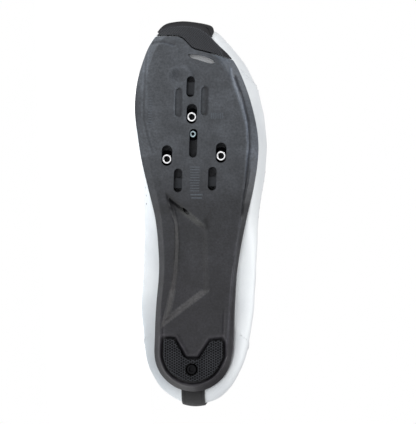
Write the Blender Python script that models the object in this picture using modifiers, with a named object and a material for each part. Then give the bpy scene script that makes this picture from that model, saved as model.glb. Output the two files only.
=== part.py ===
import math

import bmesh
import bpy
import numpy as np
from mathutils import Matrix, Vector

# Sizes in metres. The shoe's own frame: x to the big toe side, y from heel to toe, z up from the ground.
LENGTH = 0.285  # heel to toe over the upper
SOLE_WIDTH = 0.090  # across the ball, over the sole
UPPER_WIDTH = 0.099  # across the ball, over the upper
COLLAR_HEIGHT = 0.093  # ground to the top of the collar
ARCH_HEIGHT = 0.024  # ground to the upper's edge at the arch
GAP = 0.0003  # between pieces that meet
UPPER_WALL = 0.0020
COLLAR_WALL = 0.0050  # padded
COUNTER_STEP = 0.0006  # the heel counter stands proud of the upper
MARGIN_WIDTH = 0.0080  # the upper turned under onto the sole
INSOLE_LIFT = 0.0028  # above the sole's top, over the turned margin
INSOLE_THICK = 0.0036
INSOLE_INSET = 0.0032
TONGUE_THICK = 0.0036
STRAP_THICK = 0.0016
TONGUE_RISE = 0.0130  # its free end stands this far above the throat's end
TONGUE_BACK = 0.0180  # and this far behind it
STRIP_WIDTH = 0.0168
STRIP_THICK = 0.0010
STRIP_MIDDLE = 0.0013  # the heel's middle line lies this far to the inner side
BUMPER_WALL = 0.0020
BUMPER_ROOT = 0.0015  # the bumper's wall reaches this far into its own sole piece
BEVEL_WIDTH = 0.0062  # the sloping border under the sole
DISH_WIDTH = 0.0220  # the sole's top rises to its rim over this
SLOT_WIDTH = 0.0079  # of the slots that hold a cleat nut
SLOT_LENGTH = 0.0150
NUT_BORE = 0.0042
NUT_BARREL = 0.0072
NUT_CHAMFER = 0.0004
NUT_FLANGE = 0.0126
NUT_FLANGE_THICK = 0.0013
NUT_SINK = 0.0010  # below the face that a cleat rests on
SMALL_NUT_BORE = 0.0022
SMALL_NUT_BARREL = 0.0051
SMALL_NUT_FLANGE = 0.0092
SMALL_NUT_SINK = 0.0014
PLATE_THICK = 0.0014
SCREEN_THICK = 0.0010
SCREEN_BORDER = 0.0014  # the screen is this much larger than the vent
PAD_THICK = 0.0052
PAD_CHAMFER = 0.0012
PAD_FLOOR = 0.0014  # left in the pad behind the screw's head, which clamps it
SCREW_HEAD = 0.0082
SCREW_CHAMFER = 0.0006
SCREW_SINK = 0.0014
SCREW_SOCKET = 0.0036
SCREW_SOCKET_DEPTH = 0.0013
SCREW_RECESS = 0.0094
SCREW_SHANK = 0.0032
SCREW_LENGTH = 0.0086
GROOVE_WIDTH = 0.0048
GROOVE_LENGTH = 0.0211
GROOVE_DEPTH = 0.0012
PANEL_DEPTH = 0.0029
PANEL_WALL = 0.0026  # how far the panel's walls slope
PANEL_HOLE_DEPTH = 0.0042
CUTTER_REACH = 0.0600  # cutters start and end this far outside the sole
CUTTER_LIP = 0.0008
TOE = 18  # ring number of the toe's rib; 0 is the heel's, and 36 ribs go round
RING = 36

# The shoe's form, a row per section from heel to toe.
# Along: shares of LENGTH. Sole edge: shares of SOLE_WIDTH. Widest line and top line: shares of
# UPPER_WIDTH. Heights: shares of COLLAR_HEIGHT. Lean: degrees the side turns through up to its top.
# Straight: 0 where the side swells out from the sole's edge, 1 where it runs straight up to the widest line.
FORM = (
    # edge_y sole_in sole_out wide_y wide_in wide_out wide_z top_y top_in top_out top_z lean straight
    (0.037, 0.008, 0.008, 0.000, 0.008, 0.008, 0.300, 0.028, 0.005, 0.005, 0.989, 50, 0.0),
    (0.044, 0.124, -0.108, 0.012, 0.143, -0.143, 0.300, 0.040, 0.141, -0.131, 0.978, 50, 0.0),
    (0.064, 0.223, -0.207, 0.043, 0.260, -0.252, 0.298, 0.077, 0.242, -0.237, 0.925, 50, 0.0),
    (0.091, 0.290, -0.273, 0.081, 0.331, -0.316, 0.292, 0.126, 0.293, -0.288, 0.817, 52, 0.0),
    (0.128, 0.325, -0.310, 0.125, 0.377, -0.371, 0.288, 0.175, 0.308, -0.303, 0.742, 55, 0.0),
    (0.186, 0.323, -0.323, 0.183, 0.399, -0.406, 0.286, 0.232, 0.303, -0.303, 0.720, 58, 0.0),
    (0.261, 0.318, -0.328, 0.261, 0.421, -0.434, 0.296, 0.295, 0.278, -0.288, 0.796, 60, 0.0),
    (0.342, 0.306, -0.339, 0.348, 0.410, -0.442, 0.325, 0.365, 0.212, -0.242, 0.985, 64, 0.0),
    (0.416, 0.315, -0.372, 0.418, 0.406, -0.452, 0.345, 0.428, 0.177, -0.207, 0.985, 68, 0.1),
    (0.489, 0.335, -0.422, 0.491, 0.406, -0.458, 0.355, 0.498, 0.162, -0.192, 0.905, 72, 0.3),
    (0.562, 0.381, -0.480, 0.562, 0.410, -0.489, 0.368, 0.565, 0.146, -0.177, 0.815, 75, 0.6),
    (0.633, 0.434, -0.516, 0.633, 0.434, -0.512, 0.380, 0.628, 0.131, -0.162, 0.738, 78, 0.9),
    (0.695, 0.467, -0.518, 0.695, 0.472, -0.516, 0.388, 0.681, 0.106, -0.136, 0.683, 80, 1.0),
    (0.763, 0.494, -0.478, 0.763, 0.489, -0.488, 0.390, 0.709, 0.076, -0.106, 0.652, 80, 1.0),
    (0.831, 0.481, -0.409, 0.831, 0.468, -0.438, 0.390, 0.723, 0.045, -0.076, 0.638, 80, 1.0),
    (0.894, 0.434, -0.310, 0.897, 0.421, -0.339, 0.390, 0.728, 0.022, -0.053, 0.634, 80, 0.8),
    (0.941, 0.377, -0.166, 0.949, 0.367, -0.214, 0.390, 0.731, 0.008, -0.038, 0.633, 80, 0.5),
    (0.974, 0.288, -0.054, 0.980, 0.278, -0.112, 0.390, 0.732, -0.004, -0.026, 0.633, 80, 0.3),
    (0.988, 0.112, 0.112, 0.990, 0.102, 0.102, 0.390, 0.733, -0.015, -0.015, 0.633, 80, 0.2),
)

# The sole from the side, a row per station. Along: shares of LENGTH. The rest: shares of ARCH_HEIGHT.
SOLE = (
    # along underside shell edge_top bevel_rise
    (0.036, 0.190, 0.400, 0.770, 0.230),
    (0.063, 0.125, 0.420, 0.750, 0.250),
    (0.140, 0.125, 0.420, 0.740, 0.250),
    (0.204, 0.125, 0.420, 0.760, 0.250),
    (0.263, 0.270, 0.330, 0.850, 0.250),
    (0.323, 0.500, 0.250, 0.970, 0.240),
    (0.379, 0.625, 0.210, 1.010, 0.230),
    (0.428, 0.590, 0.210, 0.960, 0.210),
    (0.484, 0.396, 0.210, 0.770, 0.200),
    (0.533, 0.133, 0.190, 0.520, 0.190),
    (0.579, 0.000, 0.175, 0.350, 0.158),
    (0.649, 0.000, 0.167, 0.270, 0.140),
    (0.789, 0.000, 0.167, 0.270, 0.140),
    (0.842, 0.050, 0.167, 0.340, 0.150),
    (0.895, 0.175, 0.167, 0.480, 0.165),
    (0.940, 0.360, 0.167, 0.660, 0.175),
    (0.968, 0.500, 0.167, 0.790, 0.175),
    (0.990, 0.625, 0.167, 0.900, 0.165),
)

# Slots through the sole, lengthwise. Centre: shares of SOLE_WIDTH and LENGTH. Size: shares of a slot's size.
SLOTS = (
    # name across along width length
    ("slot_front", 0.034, 0.826, 0.77, 1.03),
    ("slot_front_nut", 0.022, 0.756, 1.00, 0.97),
    ("slot_centre", 0.008, 0.680, 0.76, 1.41),
    ("slot_inner_nut", 0.224, 0.648, 1.00, 1.01),
    ("slot_outer_nut", -0.220, 0.656, 1.00, 1.00),
    ("slot_inner_rear", 0.132, 0.584, 0.80, 1.17),
    ("slot_outer_rear", -0.149, 0.589, 0.79, 1.17),
)

# Nuts and plates that show in those slots, at shares of SOLE_WIDTH and LENGTH.
NUTS = (
    ("cleat_nut_front", 0.022, 0.748),
    ("cleat_nut_inner", 0.224, 0.639),
    ("cleat_nut_outer", -0.220, 0.648),
)
CENTRE_NUT = (0.012, 0.704)
PLATES = (
    # name across along width length
    ("slot_plate_front", 0.034, 0.822, 1.27, 0.60),
    ("slot_plate_inner", 0.132, 0.577, 1.27, 0.48),
    ("slot_plate_outer", -0.149, 0.582, 1.27, 0.48),
)
GROOVES = (
    # name across along width length
    ("groove_inner", 0.133, 0.785, 0.96, 1.0),
    ("groove_outer", -0.080, 0.789, 1.04, 1.0),
)

# Outlines under the sole: shares of SOLE_WIDTH across and of LENGTH along.
VENT = (
    (0.070, 0.912), (0.020, 0.911), (-0.020, 0.910), (-0.060, 0.907), (-0.100, 0.903),
    (-0.140, 0.896), (-0.168, 0.889), (-0.136, 0.886), (-0.073, 0.891), (-0.015, 0.897), (0.033, 0.900),
)
SEAM = (
    (0.420, 0.9602), (0.298, 0.9617), (0.160, 0.9607), (0.118, 0.9558), (0.086, 0.9474),
    (0.038, 0.9309), (0.007, 0.9252), (-0.073, 0.9189), (-0.151, 0.9125), (-0.231, 0.9050), (-0.420, 0.8880),
)
PAD = (
    (0.240, 0.174), (0.160, 0.174), (0.076, 0.1273), (0.050, 0.1221), (-0.040, 0.1221), (-0.052, 0.1239),
    (-0.146, 0.170), (-0.232, 0.1725), (-0.241, 0.1655), (-0.245, 0.131), (-0.228, 0.118),
    (-0.187, 0.0957), (-0.114, 0.0758), (0.002, 0.0656), (0.161, 0.0839), (0.234, 0.1255), (0.246, 0.131),
)
SCREW = (0.010, 0.0965)
# Corners of the sunk waist panel.
PANEL = (
    (0.232, 0.545), (0.172, 0.470), (0.172, 0.420), (0.186, 0.365), (0.204, 0.305), (0.225, 0.262),
    (0.256, 0.209), (-0.100, 0.296), (-0.106, 0.375), (-0.108, 0.460),
)
PANEL_HOLE = ((0.103, 0.5155), (0.070, 0.5100), (0.037, 0.4980), (0.058, 0.4955), (0.091, 0.5020))

# Straps across the throat: first and last rib that each covers.
STRAPS = (("strap_top", 8.0, 9.0), ("strap_middle", 9.5, 10.5), ("strap_front", 11.0, 12.0))
STRAP_IN = 1.4  # where a strap starts and ends, on the scale of a rib: 1 widest line, 2 top line
STRAP_OUT = 1.4

RIB_STEPS = (-1.0, 0.0, 0.2, 0.45, 0.7, 1.0, 1.2, 1.4, 1.6, 1.8, 2.0)
COUNTER_FRONT = 5.0  # rib at which the heel counter ends
COUNTER_TOP = 1.4

COLOURS = {
    "outsole": ((0.085, 0.090, 0.098, 1), 0.38, 0.0),
    "toe_bumper": ((0.035, 0.036, 0.040, 1), 0.6, 0.0),
    "heel_pad": ((0.022, 0.023, 0.025, 1), 0.65, 0.0),
    "steel": ((0.62, 0.62, 0.63, 1), 0.18, 1.0),
    "screw": ((0.03, 0.03, 0.03, 1), 0.35, 1.0),
    "plate": ((0.16, 0.17, 0.18, 1), 0.45, 0.8),
    "screen": ((0.70, 0.71, 0.72, 1), 0.4, 0.3),
    "upper": ((0.86, 0.88, 0.89, 1), 0.42, 0.0),
    "tongue": ((0.80, 0.82, 0.83, 1), 0.7, 0.0),
    "insole": ((0.05, 0.05, 0.055, 1), 0.85, 0.0),
    "strap": ((0.84, 0.86, 0.87, 1), 0.5, 0.0),
    "strip": ((0.045, 0.045, 0.05, 1), 0.8, 0.0),
}
# Kilograms in a cubic metre
DENSITY = {
    "outsole": 1100.0, "toe_bumper": 1200.0, "heel_pad": 1200.0, "steel": 7850.0, "screw": 7850.0,
    "plate": 2700.0, "screen": 300.0, "upper": 900.0, "tongue": 300.0, "insole": 300.0,
    "strap": 900.0, "strip": 300.0,
}

for old in list(bpy.data.objects):
    bpy.data.objects.remove(old, do_unlink=True)

shoe_parts = bpy.data.collections.new("cycling_shoe")
cutters = bpy.data.collections.new("cutters")
bpy.context.scene.collection.children.link(shoe_parts)
bpy.context.scene.collection.children.link(cutters)
cutters.hide_render = True
rest = bpy.data.objects.new("rest", None)
shoe_parts.objects.link(rest)


# Curves through the tables

def smooth(table_x, table_y, x):
    """Monotone cubic through the points, so flat runs stay flat."""
    xs, ys, x = np.asarray(table_x), np.asarray(table_y), np.clip(x, table_x[0], table_x[-1])
    step, rise = np.diff(xs), np.diff(ys)
    slope = rise / step
    tangent = np.zeros(len(xs))
    for i in range(1, len(xs) - 1):
        if slope[i - 1] * slope[i] > 0:
            a, b = 2 * step[i] + step[i - 1], step[i] + 2 * step[i - 1]
            tangent[i] = (a + b) / (a / slope[i - 1] + b / slope[i])
    tangent[0], tangent[-1] = slope[0], slope[-1]
    i = np.clip(np.searchsorted(xs, x, side="right") - 1, 0, len(xs) - 2)
    h = step[i]
    t = (x - xs[i]) / h
    return (
        ys[i] * (1 + 2 * t) * (1 - t) ** 2 + tangent[i] * h * t * (1 - t) ** 2
        + ys[i + 1] * t * t * (3 - 2 * t) + tangent[i + 1] * h * t * t * (t - 1)
    )


sole_along = [row[0] * LENGTH for row in SOLE]


def sole_curve(column, y):
    return smooth(sole_along, [row[column] * ARCH_HEIGHT for row in SOLE], y)


def underside(y):
    return sole_curve(1, y)


def shell(y):
    return sole_curve(2, y)


def edge_top(y):
    return sole_curve(3, y)


def bevel_rise(y):
    return sole_curve(4, y)


def ring_columns():
    rows = []
    for r in range(RING):
        inner = r <= TOE
        row = FORM[r if inner else RING - r]
        side = 0 if inner else 1
        rows.append((
            row[1 + side] * SOLE_WIDTH, row[0] * LENGTH,
            row[4 + side] * UPPER_WIDTH, row[3] * LENGTH, row[6] * COLLAR_HEIGHT,
            row[8 + side] * UPPER_WIDTH, row[7] * LENGTH, row[10] * COLLAR_HEIGHT,
            math.radians(row[11]), row[12],
        ))
    return np.array(rows)


ring_table = ring_columns()


def round_ring(r):
    """The table's columns at any place round the shoe, by a closed Catmull-Rom curve."""
    r = np.asarray(r, float)
    i = np.floor(r).astype(int)
    t = (r - i)[..., None]
    p0, p1, p2, p3 = (ring_table[(i + k) % RING] for k in (-1, 0, 1, 2))
    return 0.5 * (
        2 * p1 + (p2 - p0) * t + (2 * p0 - 5 * p1 + 4 * p2 - p3) * t ** 2
        + (3 * p1 - p0 - 3 * p2 + p3) * t ** 3
    )


def edge_xy(r):
    return round_ring(r)[..., 0:2]


def edge_outward(r):
    ahead = edge_xy(np.asarray(r) + 0.02) - edge_xy(np.asarray(r) - 0.02)
    out = np.stack([ahead[..., 1], -ahead[..., 0]], axis=-1)
    return out / np.linalg.norm(out, axis=-1, keepdims=True)


outline = edge_xy(np.linspace(0, RING, 721)[:-1])


def edge_distance(xy):
    xy = np.asarray(xy, float)
    flat = xy.reshape(-1, 2)
    gaps = np.linalg.norm(flat[:, None, :] - outline[None, :, :], axis=2)
    return gaps.min(axis=1).reshape(xy.shape[:-1])


def sole_top(xy):
    """The dished top of the sole."""
    y = xy[..., 1]
    low = underside(y) + shell(y)
    rim = np.clip(1 - edge_distance(xy) / DISH_WIDTH, 0, 1) ** 2
    return low + (edge_top(y) - low) * rim


def form(r, s):
    """A point of the upper's outside. s: -1 end of the turned margin, 0 sole edge, 1 widest, 2 top line."""
    r, s = np.broadcast_arrays(np.asarray(r, float), np.asarray(s, float))
    c = round_ring(r)
    edge, wide, wide_z = c[..., 0:2], c[..., 2:4], c[..., 4]
    top, top_z, lean = c[..., 5:7], c[..., 7], c[..., 8]
    foot = edge_top(edge[..., 1]) + GAP
    a = np.clip(s, 0, 1) * math.pi / 2
    b = np.clip(s - 1, 0, 1) * lean
    across = (1 - np.cos(b)) / (1 - np.cos(lean))
    up = np.sin(b) / np.sin(lean)
    swell = np.sin(a) * (1 - c[..., 9]) + (1 - np.cos(a)) * c[..., 9]
    xy = edge + (wide - edge) * swell[..., None] + (top - wide) * across[..., None]
    z = foot + (wide_z - foot) * (1 - np.cos(a)) + (top_z - wide_z) * up
    turned = s < 0
    if turned.any():
        inset = edge - edge_outward(r) * (np.clip(-s, 0, 1) * MARGIN_WIDTH)[..., None]
        xy = np.where(turned[..., None], inset, xy)
        z = np.where(turned, sole_top(inset) + GAP, z)
    return np.concatenate([xy, z[..., None]], axis=-1)


def form_outward(r, s):
    r, s = np.broadcast_arrays(np.asarray(r, float), np.asarray(s, float))
    held = np.clip(s, 0.03, 1.99)
    round_way = form(r + 0.05, held) - form(r - 0.05, held)
    up_way = form(r, held + 0.01) - form(r, held - 0.01)
    out = np.cross(round_way, up_way)
    out /= np.linalg.norm(out, axis=-1, keepdims=True)
    out[s <= 0] = (0, 0, -1)
    return out


def off_form(r, s, distance):
    r, s = np.broadcast_arrays(np.asarray(r, float), np.asarray(s, float))
    return form(r, s) + form_outward(r, s) * np.asarray(distance)[..., None]


def ease(x):
    x = np.clip(x, 0, 1)
    return x * x * (3 - 2 * x)


# Meshes

def material(name):
    found = bpy.data.materials.get(name)
    if found:
        return found
    colour, roughness, metallic = COLOURS[name]
    made = bpy.data.materials.new(name)
    made.use_nodes = True
    shader = made.node_tree.nodes["Principled BSDF"]
    shader.inputs["Base Color"].default_value = colour
    shader.inputs["Roughness"].default_value = roughness
    shader.inputs["Metallic"].default_value = metallic
    made.diffuse_color = colour
    return made


def add_mesh(name, points, faces, look=None, collection=None):
    mesh = bpy.data.meshes.new(name)
    mesh.from_pydata([tuple(map(float, p)) for p in points], [], faces)
    work = bmesh.new()
    work.from_mesh(mesh)
    bmesh.ops.remove_doubles(work, verts=work.verts, dist=0.000004)
    bmesh.ops.recalc_face_normals(work, faces=work.faces)
    if work.calc_volume(signed=True) < 0:
        bmesh.ops.reverse_faces(work, faces=work.faces)
    work.to_mesh(mesh)
    work.free()
    return add_object(name, mesh, look, collection)


def boolean(target, other, operation="DIFFERENCE"):
    modifier = target.modifiers.new(other.name, "BOOLEAN")
    modifier.solver = "EXACT"
    modifier.operation = operation
    modifier.object = other


def add_object(name, mesh, look=None, collection=None):
    made = bpy.data.objects.new(name, mesh)
    (collection or shoe_parts).objects.link(made)
    made.parent = rest
    if look:
        mesh.materials.append(material(look))
        made["look"] = look
    else:
        made.display_type = "WIRE"
    return made


def prism(name, outline_xy, low, high, look=None, collection=None):
    """A flat outline, drawn at one height and pulled up to the other."""
    work = bmesh.new()
    base = work.faces.new([work.verts.new((x, y, low)) for x, y in outline_xy])
    raised = bmesh.ops.extrude_face_region(work, geom=[base])["geom"]
    top = [v for v in raised if isinstance(v, bmesh.types.BMVert)]
    bmesh.ops.translate(work, vec=(0, 0, high - low), verts=top)
    bmesh.ops.recalc_face_normals(work, faces=work.faces)
    mesh = bpy.data.meshes.new(name)
    work.to_mesh(mesh)
    work.free()
    return add_object(name, mesh, look, collection)


def cutter(name, outline_xy, high=None):
    """A prism for cutting, from well below the sole up to a height, or right through."""
    return prism(name, outline_xy, -CUTTER_REACH, CUTTER_REACH if high is None else high, None, cutters)


def grown(outline_xy, distance):
    """The closed outline moved outward by a distance, each corner on its mitre."""
    points = np.asarray(outline_xy, float)
    area = np.sum(points[:, 0] * np.roll(points[:, 1], -1) - points[:, 1] * np.roll(points[:, 0], -1))
    before = points - np.roll(points, 1, axis=0)
    after = np.roll(points, -1, axis=0) - points
    turn = 1 if area > 0 else -1
    moved = []
    for p, a, b in zip(points, before, after):
        na, nb = np.array([a[1], -a[0]]) * turn, np.array([b[1], -b[0]]) * turn
        na, nb = na / np.linalg.norm(na), nb / np.linalg.norm(nb)
        mitre = na + nb
        moved.append(p + mitre * distance / max(0.9, 0.5 * mitre @ mitre))
    return [tuple(p) for p in moved]


def min_distance(spot, corners):
    """Shortest way from a spot to an outline."""
    run = np.roll(corners, -1, axis=0) - corners
    t = np.clip(((spot - corners) * run).sum(axis=1) / (run ** 2).sum(axis=1), 0, 1)
    return float(np.linalg.norm(spot - corners - t[:, None] * run, axis=1).min())


def placed(outline_shares):
    return [(x * SOLE_WIDTH, y * LENGTH) for x, y in outline_shares]


def stadium(x, y, width, length, steps=6):
    half, straight = width / 2, length / 2 - width / 2
    turns = [math.pi * i / steps for i in range(steps + 1)]
    far = [(x + half * math.cos(a), y + straight + half * math.sin(a)) for a in turns]
    near = [(x - half * math.cos(a), y - straight - half * math.sin(a)) for a in turns]
    return far + near


def box_outline(x, y, width, length):
    w, l = width / 2, length / 2
    return [(x + w, y - l), (x + w, y + l), (x - w, y + l), (x - w, y - l)]


def lathe(name, x, y, profile, look, steps=20, hollow=True):
    """A profile of (radius, height), running down its outer side, turned about an upright axis."""
    count = len(profile)
    mesh = bpy.data.meshes.new(name)
    edges = [(i, i + 1) for i in range(count - 1)] + ([(count - 1, 0)] if hollow else [])
    mesh.from_pydata([(radius, 0, z) for radius, z in profile], edges, [])
    made = add_object(name, mesh, look)
    made.location = (x, y, 0)
    screw = made.modifiers.new("turn", "SCREW")
    screw.steps = screw.render_steps = steps
    screw.use_merge_vertices = True
    screw.merge_threshold = 0.00001
    screw.use_smooth_shade = False
    return made


def sheet_solid(name, outside, inside, look, ring=False):
    """Closed solid between two grids of points; rows may close into a ring."""
    rows, columns = outside.shape[:2]
    points = list(outside.reshape(-1, 3)) + list(inside.reshape(-1, 3))
    back = rows * columns
    faces = []
    for i in range(rows if ring else rows - 1):
        j = (i + 1) % rows
        for k in range(columns - 1):
            a, b, c, d = i * columns + k, j * columns + k, j * columns + k + 1, i * columns + k + 1
            faces += [(a, b, c), (a, c, d), (back + c, back + b, back + a), (back + d, back + c, back + a)]
        for k in (0, columns - 1):
            faces.append((i * columns + k, j * columns + k, back + j * columns + k, back + i * columns + k))
    if not ring:
        for i in (0, rows - 1):
            for k in range(columns - 1):
                a, b = i * columns + k, i * columns + k + 1
                faces.append((a, b, back + b, back + a))
    return add_mesh(name, points, faces, look)


# Sole: rings at its edge, bevel and margin, then strips across its middle

half_turn = np.concatenate([np.arange(0, 5, 0.5), np.arange(5, 10, 0.25), np.arange(10, TOE + 0.1, 0.5)])
ring_turns = np.concatenate([half_turn, RING - half_turn[-2:0:-1]])
ring_count = len(ring_turns)
half_count = len(half_turn)


def ring_points(inset, height):
    xy = edge_xy(ring_turns) - edge_outward(ring_turns) * inset
    return np.concatenate([xy, height(xy)[:, None]], axis=1)


def ring_body(name, loops, low_height, high_height, look, collection=None, strips=6):
    """Loops go from the lower inner one up the outside to the upper inner one. Strips fill the middles."""
    points = [p for loop in loops for p in loop]
    faces = []
    for level in range(len(loops) - 1):
        for i in range(ring_count):
            j = (i + 1) % ring_count
            a, b = level * ring_count, (level + 1) * ring_count
            faces += [(a + i, a + j, b + i), (a + j, b + j, b + i)]
    for level, height in ((0, low_height), (len(loops) - 1, high_height)):
        loop = np.array(loops[level])
        grid = []
        for i in range(half_count):
            here, there = loop[i], loop[(ring_count - i) % ring_count]
            row = [level * ring_count + i]
            for k in range(1, strips):
                xy = here[:2] + (there[:2] - here[:2]) * k / strips
                row.append(len(points))
                points.append(np.array([xy[0], xy[1], height(xy[None])[0]]))
            row.append(level * ring_count + (ring_count - i) % ring_count)
            grid.append(row)
        for i in range(half_count - 1):
            for k in range(strips):
                faces.append((grid[i][k], grid[i][k + 1], grid[i + 1][k + 1], grid[i + 1][k]))
    return add_mesh(name, points, faces, look, collection)


def under(xy):
    return underside(xy[..., 1])


def sole_body(name, look, collection=None):
    loops = [
        ring_points(BEVEL_WIDTH, under),
        ring_points(0.0, lambda xy: under(xy) + bevel_rise(xy[..., 1])),
        ring_points(0.0, lambda xy: edge_top(xy[..., 1])),
        ring_points(MARGIN_WIDTH, sole_top),
    ]
    return ring_body(name, loops, under, sole_top, look, collection)


def sole_xy(across, along):
    return across * SOLE_WIDTH, along * LENGTH


outsole = sole_body("outsole", "outsole")
bumper = sole_body("toe_bumper", "toe_bumper")

seam = placed(SEAM)
far = LENGTH * 1.2


def toe_block(name, shift):
    line = [(x, y + shift) for x, y in seam]
    return cutter(name, line + [(line[-1][0], far), (line[0][0], far)])


toe_cut = toe_block("toe_cut", -GAP / 2)
toe_keep = toe_block("toe_keep", GAP / 2)
boolean(outsole, toe_cut)
boolean(bumper, toe_keep, "INTERSECT")

for name, across, along, width, length in SLOTS:
    x, y = sole_xy(across, along)
    boolean(outsole, cutter(name, stadium(x, y, width * SLOT_WIDTH, length * SLOT_LENGTH)))
for name, across, along, width, length in GROOVES:
    x, y = sole_xy(across, along)
    floor = float(underside(np.array([y]))[0]) + GROOVE_DEPTH
    boolean(outsole, cutter(name, stadium(x, y, width * GROOVE_WIDTH, length * GROOVE_LENGTH, 3), floor))
boolean(outsole, cutter("vent_cut", placed(VENT)))


def row_crossings(here, there, corners):
    """Shares of a row across the sole at which it enters and leaves an outline."""
    run = there - here
    shares = []
    for p, q in zip(corners, np.roll(corners, -1, axis=0)):
        side = q - p
        turn = run[0] * side[1] - run[1] * side[0]
        if abs(turn) > 1e-12:
            u = ((p[0] - here[0]) * side[1] - (p[1] - here[1]) * side[0]) / turn
            v = ((p[0] - here[0]) * run[1] - (p[1] - here[1]) * run[0]) / turn
            if 0 <= v <= 1:
                shares.append(u)
    return (min(shares), max(shares)) if len(shares) > 1 else None


def panel_cutter():
    """A pocket on the sole's own rows, so that it follows the arch, with sloping walls."""
    brink = np.array(grown(placed(PANEL), PANEL_WALL * CUTTER_LIP / PANEL_DEPTH))
    floor = np.array(grown(placed(PANEL), -PANEL_WALL))
    loop = ring_points(BEVEL_WIDTH, under)
    sections = []
    for i in range(half_count):
        here, there = loop[i][:2], loop[(ring_count - i) % ring_count][:2]
        rim = row_crossings(here, there, brink)
        if rim is None:
            continue
        flat = row_crossings(here, there, floor)
        depth = PANEL_DEPTH
        if flat is None or flat[1] - flat[0] < 0.04:
            middle = (rim[0] + rim[1]) / 2
            flat = (middle - 0.02, middle + 0.02)
            spot = here + (there - here) * middle
            inside = min_distance(spot, brink)
            depth = min(PANEL_DEPTH, inside * PANEL_DEPTH / PANEL_WALL - CUTTER_LIP)
        section = []
        for share, lift in (
            (rim[0], -CUTTER_LIP), (flat[0], depth), ((flat[0] + flat[1]) / 2, depth), (flat[1], depth),
            (rim[1], -CUTTER_LIP), (rim[1], -CUTTER_REACH / 5), (rim[0], -CUTTER_REACH / 5),
        ):
            xy = here + (there - here) * share
            section.append((xy[0], xy[1], float(underside(np.array([xy[1]]))[0]) + lift))
        sections.append(section)
    count = len(sections[0])
    points = [p for section in sections for p in section]
    faces = []
    for i in range(0, (len(sections) - 1) * count, count):
        for k in range(count):
            m = (k + 1) % count
            faces.append((i + k, i + m, i + count + m, i + count + k))
    for first, tip in ((0, brink[6]), ((len(sections) - 1) * count, brink[0])):
        points.append((tip[0], tip[1], float(underside(np.array([tip[1]]))[0]) - CUTTER_LIP))
        faces += [(first + k, first + (k + 1) % count, len(points) - 1) for k in range(count)]
    return add_mesh("panel_cut", points, faces, None, cutters)


boolean(outsole, panel_cutter())
hole_outline = placed(PANEL_HOLE)
hole_floor = float(underside(np.array([hole_outline[0][1]]))[0]) + PANEL_HOLE_DEPTH
boolean(outsole, cutter("panel_hole", hole_outline, hole_floor))

# Heel pad, in a pocket of its own
pad_outline = placed(PAD)
screw_x, screw_y = sole_xy(*SCREW)
boolean(outsole, cutter("pad_pocket", grown(pad_outline, GAP), PAD_THICK + GAP))
pad_points = [(x, y, 0.0) for x, y in grown(pad_outline, -PAD_CHAMFER)]
pad_points += [(x, y, PAD_CHAMFER) for x, y in pad_outline] + [(x, y, PAD_THICK) for x, y in pad_outline]
pad_count = len(pad_outline)
pad_faces = [tuple(range(pad_count)), tuple(range(2 * pad_count, 3 * pad_count))]
for level in (0, pad_count):
    pad_faces += [
        (level + i, level + j, level + pad_count + j, level + pad_count + i)
        for i, j in zip(range(pad_count), [*range(1, pad_count), 0])
    ]
heel_pad = add_mesh("heel_pad", pad_points, pad_faces, "heel_pad")


def circle(x, y, radius, steps=20):
    turns = np.arange(steps) * 2 * math.pi / steps
    return [(x + radius * math.cos(a), y + radius * math.sin(a)) for a in turns]


head_seat = PAD_THICK - PAD_FLOOR
screw_end = SCREW_SINK + SCREW_LENGTH
boolean(heel_pad, cutter("screw_recess", circle(screw_x, screw_y, SCREW_RECESS / 2), head_seat))
boolean(heel_pad, cutter("screw_way", circle(screw_x, screw_y, SCREW_SHANK / 2 + GAP)))
boolean(outsole, cutter("screw_hole", circle(screw_x, screw_y, SCREW_SHANK / 2 + GAP), screw_end + 1.6 * GAP))
head, shank, socket = SCREW_HEAD / 2, SCREW_SHANK / 2, SCREW_SOCKET / 2
lathe("heel_pad_screw", screw_x, screw_y, [
    (0.0, screw_end), (shank, screw_end), (shank, head_seat - GAP), (head, head_seat - GAP),
    (head, SCREW_SINK + SCREW_CHAMFER), (head - SCREW_CHAMFER, SCREW_SINK), (socket, SCREW_SINK),
    (socket, SCREW_SINK + SCREW_SOCKET_DEPTH), (0.0, SCREW_SINK + SCREW_SOCKET_DEPTH),
], "screw", hollow=False)


# Nuts and plates between the sole and the insole

def seat_over(x, y, radius):
    """Height that clears the sole's dished top all round a flange."""
    return float(sole_top(np.array(circle(x, y, radius, 16))).max()) + GAP


for name, across, along in NUTS:
    x, y = sole_xy(across, along)
    outer, inner, flange = NUT_BARREL / 2, NUT_BORE / 2, NUT_FLANGE / 2
    seat = seat_over(x, y, flange)
    lathe(name, x, y, [
        (inner, seat + NUT_FLANGE_THICK), (flange, seat + NUT_FLANGE_THICK), (flange, seat), (outer, seat),
        (outer, NUT_SINK + NUT_CHAMFER), (outer - NUT_CHAMFER, NUT_SINK),
        (inner + NUT_CHAMFER, NUT_SINK), (inner, NUT_SINK + NUT_CHAMFER),
    ], "steel")
x, y = sole_xy(*CENTRE_NUT)
outer, inner, flange = SMALL_NUT_BARREL / 2, SMALL_NUT_BORE / 2, SMALL_NUT_FLANGE / 2
seat = seat_over(x, y, flange)
lathe("centre_nut", x, y, [
    (inner, seat + NUT_FLANGE_THICK), (flange, seat + NUT_FLANGE_THICK), (flange, seat), (outer, seat),
    (outer, SMALL_NUT_SINK), (inner, SMALL_NUT_SINK),
], "steel", 16)
for name, across, along, width, length in PLATES:
    x, y = sole_xy(across, along)
    corners = box_outline(x, y, width * SLOT_WIDTH, length * SLOT_LENGTH)
    seat = float(sole_top(np.array(corners)).max()) + GAP
    prism(name, corners, seat, seat + PLATE_THICK, "plate")
vent_outline = grown(placed(VENT), SCREEN_BORDER)
vent_low = sole_top(np.array(vent_outline)) + 1.6 * GAP
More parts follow.
